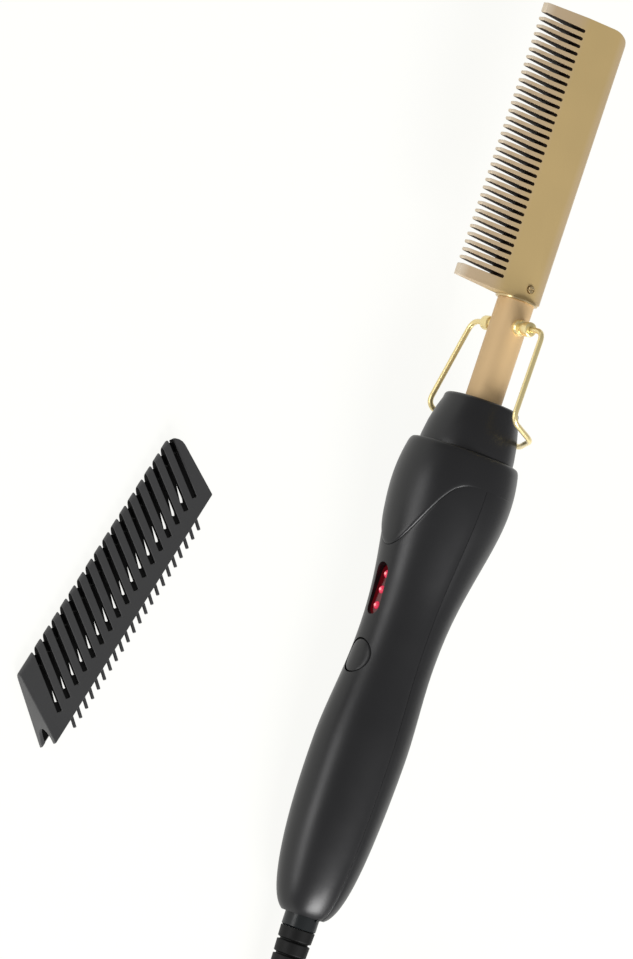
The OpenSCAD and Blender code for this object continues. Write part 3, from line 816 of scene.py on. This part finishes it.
# %% The row of lamps
def dome_row_tree():
    """Half-sunk balls on a straight row, flattened to a height."""
    inputs = [("Count", COUNT), ("Pitch", FLOAT), ("Radius", FLOAT), ("Height", FLOAT), ("Glow", MATERIAL)]
    tree, given, out = new_tree("dome_row", inputs)
    link = tree.links.new
    step, size = (tree.nodes.new("ShaderNodeCombineXYZ") for _ in range(2))
    link(given.outputs["Pitch"], step.inputs["X"])
    line = tree.nodes.new("GeometryNodeMeshLine")
    link(given.outputs["Count"], line.inputs["Count"])
    link(step.outputs[0], line.inputs["Offset"])
    ball = tree.nodes.new("GeometryNodeMeshUVSphere")
    ball.inputs["Segments"].default_value = 32
    ball.inputs["Rings"].default_value = 16
    ball.inputs["Radius"].default_value = 1.0
    smooth = tree.nodes.new("GeometryNodeSetShadeSmooth")
    link(ball.outputs["Mesh"], smooth.inputs["Geometry"])
    for axis, label in (("X", "Radius"), ("Y", "Radius"), ("Z", "Height")):
        link(given.outputs[label], size.inputs[axis])
    row = tree.nodes.new("GeometryNodeInstanceOnPoints")
    link(line.outputs["Mesh"], row.inputs["Points"])
    link(smooth.outputs["Geometry"], row.inputs["Instance"])
    link(size.outputs[0], row.inputs["Scale"])
    finish_tree(tree, row.outputs["Instances"], "Glow", given, out)
    return tree


DOME_ROW = dome_row_tree()
LAMP_PITCH = 4.9


def lamp_row(name, radius, height, base, material):
    """Three domes in the window; the tree's row is turned so that they face the button side."""
    row = run_tree(
        name,
        DOME_ROW,
        count=3,
        pitch=LAMP_PITCH * MM,
        radius=radius * MM,
        height=height * MM,
        glow=material,
    )
    outward = Matrix(((1, 0, 0), (0, 0, 1), (0, -1, 0))).to_4x4()
    start = Matrix.Translation(Vector((LAMP_X - LAMP_PITCH, base, 0)) * MM)
    return into_place(row, COMB_AXES @ start @ outward)


domes = lamp_row("lamp_domes", 1.25, 0.9, 13.4, LAMP)
cores = lamp_row("lamp_cores", 0.5, 0.42, 14.1, CORE)
for made in (domes, cores):
    place_on(made, "comb", "lamp_red")

# %% [markdown]
# ## The collar, neck and stand
# The collar closes the handle round the hot neck: a foot on the hood's end, a taper and a
# rounded rim. It is a turned part, so its outline is drawn once as radius and height and spun
# about the comb's axis, like a lathe would. Its foot is flattened to follow the grip's end.

# %% The collar
COLLAR_END, COLLAR_LENGTH, FLATTENED = 163.8, 16, 0.07


def arc(cx, cy, r, a0, a1, steps=6):
    """A round stretch of an outline, from angle a0 to a1 in degrees."""
    points = []
    for i in range(steps + 1):
        a = math.radians(a0 + (a1 - a0) * i / steps)
        points.append((cx + r * math.cos(a), cy + r * math.sin(a)))
    return points


collar_profile = [(13.2, 146.0), (13.2, 147.62), (15.0, 147.62), (15.1, 147.7), (15.1, 148.1)]
collar_profile += [(14.95, 149.6), (14.2, 154.0), (13.0, 158.5), (11.9, 161.6)]
collar_profile += arc(10.3, 162.3, 1.5, 15, 90)
collar_profile += [(6.4, COLLAR_END), (6.25, 163.6), (6.25, 158.0), (7.7, 158.0), (7.7, 146.0)]


def on_collar(r, a, h):
    """The collar's foot is a little flatter than it is wide, as the grip's end is."""
    flat = FLATTENED * max(0.0, COLLAR_END - h) / COLLAR_LENGTH
    return lay(h, r * math.cos(a), r * math.sin(a) * (1 - flat))


collar = revolve("collar", collar_profile, on_collar, BLACK)
place_on(collar, "comb", "black_gloss", "nose_collar")

# %% [markdown]
# The stand is one bent wire that runs from a lug, out over the collar, round its back and up
# again. Half of it is written as corner points and mirrored, so both sides match. Real wire
# can't bend sharply, so each corner is replaced by a short curve before the round bar is drawn
# along the line. The bar becomes a mesh, because its finish reads Object coordinates.

# %% The wire stand
STAND_X, WIRE_R, WIRE_BEND = 188.1, 0.85, 3.2


def rounded(points, reach, steps=8):
    """Replace each corner by a short curve that starts and ends at reach from it."""
    out = [points[0]]
    for a, p, b in zip(points, points[1:], points[2:]):
        da, db = min(reach, (a - p).length * 0.49), min(reach, (b - p).length * 0.49)
        first, last = p + (a - p).normalized() * da, p + (b - p).normalized() * db
        for i in range(steps + 1):
            u = i / steps
            out.append(first * (1 - u) ** 2 + p * 2 * u * (1 - u) + last * u * u)
    return out + [points[-1]]


def as_mesh(made, material):
    """A curve object turned into a smooth mesh object of the same name."""
    name = made.name
    bm = bmesh_of(evaluated_mesh(made))
    bpy.data.objects.remove(made)
    bmesh.ops.remove_doubles(bm, verts=bm.verts, dist=1e-7)
    return finish_mesh(name, bm, material, 50)


half = [
    (STAND_X, 0, 8.6),
    (STAND_X, 0, 17.8),
    (159.6, 3.5, 21.9),
    (156.2, -7.5, 18.8),
    (155.6, -12.5, 9.5),
    (155.2, -16, 3.5),
    (155.2, -16.2, 0),
]
whole = [Vector(p) for p in half] + [Vector((x, y, -z)) for x, y, z in half[-2::-1]]
wire_line = [lay(*p) for p in rounded(whole, WIRE_BEND)]
wire = as_mesh(curve_through("stand_wire_round", wire_line, WIRE_R * MM, 5), WIRE)
place_on(wire, "stand", "bright_gold", "stand_wire")

# %% [markdown]
# Two turned gold lugs stand on the neck and hold the ends of the wire. They are small, but the
# light picks out their rims, so they get a real lathe profile, once for each side.

# %% The lugs
LUG_HOLE = [(0.95, 11.2), (0.95, 11.8)]
LUG_HEAD = [(1.8, 11.8), (2.1, 11.6), (2.25, 11.2), (2.25, 9.0), (2.1, 8.6)]
LUG_FOOT = [(1.55, 8.2), (1.5, 7.0), (2.2, 6.8), (2.5, 6.3), (2.5, 5.0)]


def lug(side):
    """One lug, turned about the line that the wire's end lies on."""

    def place(r, a, h):
        return lay(STAND_X + r * math.cos(a), r * math.sin(a), side * h)

    return revolve(f"lug_{side}", LUG_HOLE + LUG_HEAD + LUG_FOOT, place, WIRE, 40)


lug_pair = joined("lug_pair", [lug(1), lug(-1)])
place_on(lug_pair, "comb", "bright_gold", "stand_lugs")

# %% [markdown]
# ## The comb head
# The head is one solid wedge of plated metal: thick at the spine, where the heater lies, and
# thin at the tips. Where it starts and ends across was needed for its finish; its other sizes
# come now, since the blank and the slots share them.

# %% Sizes of the head
HEAD_X, ROOT_Y, PLATE_T = 196.5, 9.8, 0.8
SPINE_T, TIP_T = 11.4, 2.4
SPINE_ROUND, END_ROUND, END_LEAN = 2.2, 6, 0.6
SLOTS, TOOTH_PITCH, TOOTH_W, TOOTH_TIP = 33, 2.44, 1.4, 1.0
SLOT_W = TOOTH_PITCH - TOOTH_W
FIRST_SLOT = HEAD_X + (HEAD_END - HEAD_X - (SLOTS - 1) * TOOTH_PITCH) / 2
SCREW_X, SCREW_HOLE_R = 200.2, 1.3
print("width of a slot:", round(SLOT_W, 2), "mm")

# %% [markdown]
# The blank is the wedge before any slot is cut. A wedge with a rounded corner could be bevelled
# out of a cube, but the sizes are easier to trust when two outlines say them: the section across
# the head, pushed along it, is trimmed by the plan seen from above. The hole for the screw is
# drilled through it in the same way.

# %% The blank of the head
def slab(name, outline, place):
    """A flat outline made into a solid; place(u, v, side) puts its points, side is -1 or 1."""
    rings = [[place(u, v, side) for u, v in outline] for side in (-1, 1)]
    return finish_mesh(name, rings_to_bmesh(rings), HEAD)


def past_the_ends(y, z, side):
    """For a section across the head: it is pushed past both ends of the head."""
    return Vector((240 + side * 60, y, z)) * MM


def past_the_faces(x, y, side):
    """For an outline seen from above: it is pushed past both flat faces."""
    return Vector((x, y, side * 20)) * MM


def head_blank():
    """The head before its slots are cut: a wedge across, trimmed to its outline from above."""
    upper = [(TIP_Y, TIP_T / 2)]
    upper += arc(SPINE_Y + SPINE_ROUND, SPINE_T / 2 - SPINE_ROUND, SPINE_ROUND, 98, 180, 10)
    wedge = slab("wedge", upper + [(y, -z) for y, z in upper[::-1]], past_the_ends)
    low = HEAD_X + PLATE_T
    plan = [(low, TIP_Y), (HEAD_END - END_LEAN, TIP_Y), (HEAD_END, ROOT_Y)]
    plan += arc(HEAD_END - END_ROUND, SPINE_Y + END_ROUND, END_ROUND, 0, -90, 12)
    plan += [(low, SPINE_Y)]
    combined(wedge, slab("trim", plan, past_the_faces), "INTERSECT")
    screw_hole = arc(SCREW_X, 0, SCREW_HOLE_R, 0, 345, 23)
    return combined(wedge, slab("screw_hole", screw_hole, past_the_faces), "DIFFERENCE")


blank = head_blank()
print("faces of the blank:", len(blank.data.polygons))

# %% [markdown]
# Between two teeth lies one slot: round at the root, parallel, and flared where the tips are
# rounded. It is drawn once as a solid, and the tree below repeats it.

# %% The slot
def slot_cutter():
    """What is taken out between two teeth: round at the root, wider where the tips are rounded."""
    root = arc(0, ROOT_Y + SLOT_W / 2, SLOT_W / 2, 180, 360, 10)
    tip_r = TOOTH_TIP / 2
    flare = [(TOOTH_PITCH / 2 - x, y) for x, y in arc(0, TIP_Y - tip_r, tip_r, 0, 66, 4)]
    right = flare + [(flare[-1][0], TIP_Y + 2)]
    outline = root + right + [(-x, y) for x, y in right[::-1]]
    return slab("slot", outline, past_the_faces)


slot_shape = slot_cutter()
print("a slot is cut from y =", ROOT_Y, "out past y =", TIP_Y, "mm")

# %% [markdown]
# The teeth are what is left when 33 equal slots are taken out. The rule is the same as for the
# lamps: a Mesh Line gives the places and the slot is put on each. An Array modifier and a
# Boolean would do it too, but they can't hold the count, start and step as named inputs.

# %% The tree that cuts the teeth
def slotted_tree():
    """Cut a row of the same slot out of a blank."""
    inputs = [("Blank", OBJECT), ("Slot", OBJECT), ("Count", COUNT)]
    inputs += [("Start", VECTOR), ("Step", VECTOR), ("Metal", MATERIAL)]
    tree, given, out = new_tree("slotted", inputs)
    link = tree.links.new
    blank, slot = (tree.nodes.new("GeometryNodeObjectInfo") for _ in range(2))
    link(given.outputs["Blank"], blank.inputs["Object"])
    link(given.outputs["Slot"], slot.inputs["Object"])
    line = tree.nodes.new("GeometryNodeMeshLine")
    for label, socket in (("Count", "Count"), ("Start", "Start Location"), ("Step", "Offset")):
        link(given.outputs[label], line.inputs[socket])
    row = tree.nodes.new("GeometryNodeInstanceOnPoints")
    link(line.outputs["Mesh"], row.inputs["Points"])
    link(slot.outputs["Geometry"], row.inputs["Instance"])
    cutters = tree.nodes.new("GeometryNodeRealizeInstances")
    link(row.outputs["Instances"], cutters.inputs["Geometry"])
    cut = tree.nodes.new("GeometryNodeMeshBoolean")
    cut.operation, cut.solver = "DIFFERENCE", "EXACT"
    link(blank.outputs["Geometry"], cut.inputs["Mesh 1"])
    link(cutters.outputs["Geometry"], cut.inputs["Mesh 2"])
    finish_tree(tree, cut.outputs["Mesh"], "Metal", given, out)
    return tree


SLOTTED = slotted_tree()
print("inputs of the tree:", inputs_of(SLOTTED))

# %% [markdown]
# The tree is run with the real numbers. Its result is loose at the cuts and its slots' edges are
# as sharp as knives, so doubles are merged and flat faces joined before anything is rounded.

# %% The teeth
toothed = run_tree(
    "toothed_blank",
    SLOTTED,
    blank=blank,
    slot=slot_shape,
    count=SLOTS,
    start=Vector((FIRST_SLOT, 0, 0)) * MM,
    step=Vector((TOOTH_PITCH, 0, 0)) * MM,
    metal=HEAD,
)
into_place(toothed, COMB_AXES)
head = finish_mesh("head_body", merged(toothed.data), HEAD, 25)
for used in (blank, slot_shape, toothed):
    bpy.data.objects.remove(used)
print("faces of the head:", len(head.data.polygons))

# %% [markdown]
# The slots are deep and narrow, so their walls lie in shade, and that shade is painted on
# them as a dark finish of their own.
# It could be painted by hand in edit mode; here a rule picks the faces. Each face's middle is
# turned back into the comb's own axes, where being in a slot is a simple question. Only then is
# every edge broken with a small bevel, which keeps the finish of the faces beside it.

# %% Painted shade on the walls of the slots
def paint(made, material, chosen):
    """Give a second material to the faces that chosen(centre, normal) picks."""
    made.data.materials.append(material)
    painted = 0
    for face in made.data.polygons:
        if chosen(face.center, face.normal):
            face.material_index = 1
            painted += 1
    print(f"{made.name}: {painted} of {len(made.data.polygons)} faces are {material.name}")


COMB_BACK = COMB_AXES.inverted()


def in_a_slot(centre, normal):
    """True for the walls and the root of a slot, up to just below the tips."""
    place = COMB_BACK @ centre / MM
    facing = COMB_BACK.to_3x3() @ normal
    inside = FIRST_SLOT - 0.6 < place.x < HEAD_END - 3 and ROOT_Y - 0.1 < place.y < TIP_Y - 0.7
    return inside and abs(facing.z) < 0.5


# painted shade on the walls and roots of the slots
paint(head, PAINTED_SLOT_SHADE, in_a_slot)
bevelled(head, 0.14, angle=25)
place_on(head, "comb", "gold_metal", "comb_head")

# %% [markdown]
# A plate closes the head's lower end, and the neck tube comes out of it through a thin bright
# ring. Plate, tube and screws are plain shapes that the engineering model already has, so they
# are softened copies; only the ring is turned here. The screws are stretched a little away from
# the middle of the head, so that they stand clear of the rounded edge of their hole.

# %% The end plate, the neck and the screws
plate = softened("end_plate", "head_plate", 0.12, HEAD)
place_on(plate, "comb", "gold_metal", "end_plate")
ring_profile = [(6.0, 195.8), (6.35, 195.85), (6.55, 196.0), (6.65, 196.45), (6.0, 196.45)]
neck_ring = revolve("neck_ring", ring_profile, along_comb(), SCREW)
place_on(neck_ring, "comb", "gold_metal")
neck = softened("neck_tube", "neck_body", 0.1, NECK)
place_on(neck, "comb", "gold_metal", "neck_tube")
screws = softened("head_screws", "screw_heads", 0.1, SCREW)
nearer_the_face = Matrix.Diagonal((1, 1, 1.12, 1))
into_place(screws, COMB_AXES @ nearer_the_face @ COMB_BACK)
place_on(screws, "comb", "bright_steel", "head_screws")

# %% [markdown]
# ## The cord end
# A short dark socket in the butt lets the lead turn, so that it doesn't twist while the comb is
# used. It is a turned ring and stays with the handle.

# %% The socket
socket_profile = [(4.05, -3.0), (4.9, -3.0), (5.3, -2.6), (5.3, 4.0), (4.05, 4.0)]
socket = revolve("socket_ring", socket_profile, along_comb(BOW), SOCKET)
place_on(socket, "comb", "black_satin", "swivel_socket")

# %% [markdown]
# A ribbed rubber sleeve keeps the lead from kinking, and turns with it. The ribs could be
# separate rings, but on the real sleeve they are grooves in one tapered bar. So a tree takes a
# cylinder with many rings and works out each ring's radius from its height: a taper, less a
# smooth dip that comes back once for every rib.

# %% The ribbed sleeve
def ribbed_sleeve_tree():
    """A tapered bar with even grooves: the radius of every ring is worked out from its height."""
    inputs = [("Length", FLOAT), ("Thick End", FLOAT), ("Thin End", FLOAT)]
    inputs += [("Ribs", COUNT), ("Groove", FLOAT), ("Rubber", MATERIAL)]
    tree, given, out = new_tree("ribbed_sleeve", inputs)
    link = tree.links.new
    bar = tree.nodes.new("GeometryNodeMeshCylinder")
    for label, value in (("Vertices", 64), ("Side Segments", 174), ("Radius", 1.0), ("Depth", 1.0)):
        bar.inputs[label].default_value = value
    smooth = tree.nodes.new("GeometryNodeSetShadeSmooth")
    link(bar.outputs["Mesh"], smooth.inputs["Geometry"])
    apart = tree.nodes.new("ShaderNodeSeparateXYZ")
    link(tree.nodes.new("GeometryNodeInputPosition").outputs[0], apart.inputs[0])
    height = maths(tree, "ADD", apart.outputs["Z"], 0.5)
    narrowing = maths(tree, "SUBTRACT", given.outputs["Thin End"], given.outputs["Thick End"])
    taper = maths(tree, "MULTIPLY_ADD", height, narrowing, given.outputs["Thick End"])
    phase = maths(tree, "FRACT", maths(tree, "MULTIPLY", height, given.outputs["Ribs"]))
    edge = tree.nodes.new("ShaderNodeMapRange")
    edge.interpolation_type = "SMOOTHSTEP"
    link(maths(tree, "ABSOLUTE", maths(tree, "SUBTRACT", phase, 0.88)), edge.inputs["Value"])
    for label, value in (("From Min", 0.04), ("From Max", 0.10), ("To Min", 1.0), ("To Max", 0.0)):
        edge.inputs[label].default_value = value
    cut = maths(tree, "MULTIPLY", edge.outputs["Result"], given.outputs["Groove"])
    radius = maths(tree, "SUBTRACT", taper, cut)
    place = tree.nodes.new("ShaderNodeCombineXYZ")
    link(maths(tree, "MULTIPLY", apart.outputs["X"], radius), place.inputs["X"])
    link(maths(tree, "MULTIPLY", apart.outputs["Y"], radius), place.inputs["Y"])
    link(maths(tree, "MULTIPLY", height, given.outputs["Length"]), place.inputs["Z"])
    shaped = tree.nodes.new("GeometryNodeSetPosition")
    link(smooth.outputs["Geometry"], shaped.inputs["Geometry"])
    link(place.outputs[0], shaped.inputs["Position"])
    finish_tree(tree, shaped.outputs["Geometry"], "Rubber", given, out)
    return tree


SLEEVE_X = -3.08
sleeve = run_tree(
    "relief_ribs",
    ribbed_sleeve_tree(),
    length=30.9 * MM,
    thick_end=5.3 * MM,
    thin_end=4.1 * MM,
    ribs=7,
    groove=0.8 * MM,
    rubber=RUBBER,
)
backwards = Matrix(((0, 0, -1), (0, 1, 0), (1, 0, 0))).to_4x4()
into_place(sleeve, COMB_AXES @ Matrix.Translation(Vector((SLEEVE_X, BOW, 0)) * MM) @ backwards)
journal = revolve("journal", [(3.9, 0.0), (3.9, -3.3)], along_comb(BOW), RUBBER, 64)
sleeve = joined("relief_sleeve", [sleeve, journal])
place_on(sleeve, "swivel", "cord_black", "strain_relief")

# %% [markdown]
# The plug is a flat moulding that narrows to its tail, with two round pins. Both are softened
# copies: the pins have to keep their exact size, because a wall socket takes them.

# %% The plug
plug = softened("plug_body", "plug_moulding", 0.8, BLACK, segments=3)
place_on(plug, "comb", "black_satin", "plug_body")
pins = softened("plug_pins", "plug_pin_pair", 0.15, STEEL)
place_on(pins, "comb", "pin_plated", "plug_pins")

# %% [markdown]
# A grey strap holds the coil together. It is a flat loop with rounded corners round both layers
# of turns, so it is drawn as an outline across the bundle and given its width in four rings,
# the outer two drawn in a little. The lead then gets its rubber and rides on the comb in place
# of the plain cord, coil and plug lead.

# %% The tie and the cord
TIE_HALF_W, TIE_HALF_H, TIE_ROUND, TIE_Z = 12.6, 6.1, 2.4, 6.5
TIE_ROWS = ((-3.0, -0.35), (-2.8, 0.0), (2.8, 0.0), (3.0, -0.35))


def tie_band():
    """A flat loop round the turns; the rows are (place along the coil, how far it grows)."""
    middle = Vector((COIL.x + (OUTER + INNER) / 2, TIE_Z))
    outline = []
    for corner, (sx, sz) in enumerate(((1, 1), (-1, 1), (-1, -1), (1, -1))):
        at = (middle.x + sx * (TIE_HALF_W - TIE_ROUND), TIE_Z + sz * (TIE_HALF_H - TIE_ROUND))
        outline += arc(*at, TIE_ROUND, 90 * corner, 90 * corner + 90)
    rings = []
    for y, grow in TIE_ROWS:
        ring = []
        for point in outline:
            p = Vector(point)
            p += (p - middle).normalized() * grow
            ring.append(on_table(p.x, COIL.y + y, max(0.05, p.y)))
        rings.append(ring)
    return finish_mesh("tie_strap", rings_to_bmesh(rings, caps=False, looped=True), TIE, 50)


tie = tie_band()
place_on(tie, "comb", "tie_grey", "coil_tie")
lead.data.materials.append(RUBBER)
place_on(lead, "comb", "cord_black", "power_cord", "cord_coil", "plug_lead")

# %% [markdown]
# ## The guard
# The guard is a loose black moulding like a little roof, with slanted slots that break through
# its ridge and a row of pegs below. The engineering model has every slot in place, so it is a
# softened copy. Its underside lies in shade, so a near-black finish with hardly any shine paints
# that shade on the faces under the roof and in the slots. A matrix turns each face's middle back
# into the guard's own axes, where under the roof is a simple question.

# %% The guard
GUARD_X, GUARD_Y, GUARD_TURN = 41.8, 116.1, math.radians(-18.7)
GUARD_H, GUARD_SLOPE, RIDGE_R, GUARD_WALL = 18.8, math.radians(18), 1.9, 1.7
GUARD_END_LEAN = math.tan(math.radians(33))
FIRST_GAP, LAST_GAP = 2.5, 86
guard = softened("guard", "guard_moulding", 0.28, GUARD, clamp=False)
guard_axes = Matrix.Translation(Vector((SET.x + GUARD_X, SET.y + GUARD_Y, RIDGE_R)))
guard_axes @= Matrix.Rotation(GUARD_TURN, 4, "Z") @ Matrix.Rotation(-math.pi / 2 - GUARD_SLOPE, 4, "X")
guard_axes @= Matrix.Translation(Vector((0, 0, RIDGE_R - GUARD_H)))
GUARD_BACK = guard_axes.inverted()


def under_roof(centre, normal):
    """True for the faces under the roof and for the walls of its slots."""
    place = GUARD_BACK @ (centre / MM)
    facing = GUARD_BACK.to_3x3() @ normal
    below_ridge = GUARD_H - RIDGE_R + RIDGE_R * math.sin(GUARD_SLOPE) - place.z
    half = RIDGE_R * math.cos(GUARD_SLOPE) + math.tan(GUARD_SLOPE) * below_ridge
    below = abs(place.y) < half - GUARD_WALL / math.cos(GUARD_SLOPE) + 0.25 and place.z > 0.3
    from_end = place.x + (GUARD_H - place.z) * GUARD_END_LEAN
    wall = abs(facing.x) > 0.4 and FIRST_GAP < from_end < LAST_GAP and place.z > 0.5
    return wall or (below and from_end > 1.5)


# painted shade under the roof and in the slots
paint(guard, GUARD_PAINTED_SHADE, under_roof)
place_on(guard, "guard", "guard_black", "guard")

# %% [markdown]
# ## The table and the light
# The comb is shown on white paper with hardly any shadow. More light would burn the gold away,
# so the whiteness is in the paper: to the camera, and in reflections, it gives off a share of
# white of its own, and everywhere else it is a pale dull sheet that still takes the shadow.

# %% The floor
FLOOR_HALF, JUST_BELOW = 4.0, -0.0002
sides = ((-1, -1), (1, -1), (1, 1), (-1, 1))
corners = [(sx * FLOOR_HALF, sy * FLOOR_HALF, JUST_BELOW) for sx, sy in sides]
floor_mesh = bpy.data.meshes.new("floor")
floor_mesh.from_pydata(corners, [], [(0, 1, 2, 3)])
floor = into_scene("floor", floor_mesh)
white = bpy.data.materials.new("floor_white")
white.use_nodes = True
nodes, link = white.node_tree.nodes, white.node_tree.links.new
paper = nodes["Principled BSDF"]
paper.inputs["Base Color"].default_value = (0.62, 0.62, 0.61, 1)
paper.inputs["Roughness"].default_value = 0.9
sheen = nodes.new("ShaderNodeEmission")
sheen.inputs["Color"].default_value = (1, 1, 0.97, 1)
sheen.inputs["Strength"].default_value = 1.08
rays = nodes.new("ShaderNodeLightPath").outputs
mirrored = maths(white.node_tree, "ADD", rays["Is Glossy Ray"], rays["Is Transmission Ray"])
seen = maths(white.node_tree, "MULTIPLY", rays["Is Camera Ray"], 0.86)
blend = nodes.new("ShaderNodeMixShader")
link(maths(white.node_tree, "MULTIPLY_ADD", mirrored, 0.8, seen), blend.inputs[0])
link(paper.outputs[0], blend.inputs[1])
link(sheen.outputs[0], blend.inputs[2])
link(blend.outputs[0], nodes["Material Output"].inputs[0])
floor_mesh.materials.append(white)
floor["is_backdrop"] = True
print("floor:", 2 * FLOOR_HALF, "m across")

# %% [markdown]
# The light is soft and plain, so that a colour renders about as it was written. A pale world
# fills the shadows, a large box stands to the upper left, and a long low one beside the comb
# draws the broad highlight that runs down the handle.

# %% The light
world = bpy.data.worlds.new("soft_room")
world.use_nodes = True
sky = world.node_tree.nodes["Background"]
sky.inputs["Color"].default_value = (1, 1, 1, 1)
sky.inputs["Strength"].default_value = 0.34
bpy.context.scene.world = world


def soft_box(name, place, aim, size, power):
    """A rectangular area light that looks from place to aim."""
    light = bpy.data.lights.new(name, "AREA")
    light.shape = "RECTANGLE"
    light.size, light.size_y = size
    light.energy = power
    made = into_scene(name, light)
    made.location = place
    made.rotation_euler = (Vector(aim) - Vector(place)).to_track_quat("-Z", "Y").to_euler()
    made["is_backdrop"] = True
    return made


key = soft_box("key", (-1.25, -0.5, 1.0), (0, 0, 0), (1.0, 0.8), 32)
left = soft_box("left", (-0.35, 1.5, 0.3), (-0.08, 0, 0), (1.2, 0.45), 8)
print("lights:", key.name, "and", left.name)

# %% [markdown]
# ## Hand over
# The dressed comb should be as large as the engineering model was. Both boxes are taken, and
# the difference is printed.

# %% The size at the end
end_box = [list(corner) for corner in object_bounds()]
grown = [round(((e1 - e0) - (s1 - s0)) / MM, 1) for s0, s1, e0, e1 in zip(*start_box, *end_box)]
print("grown along x, y and z:", grown, "mm")
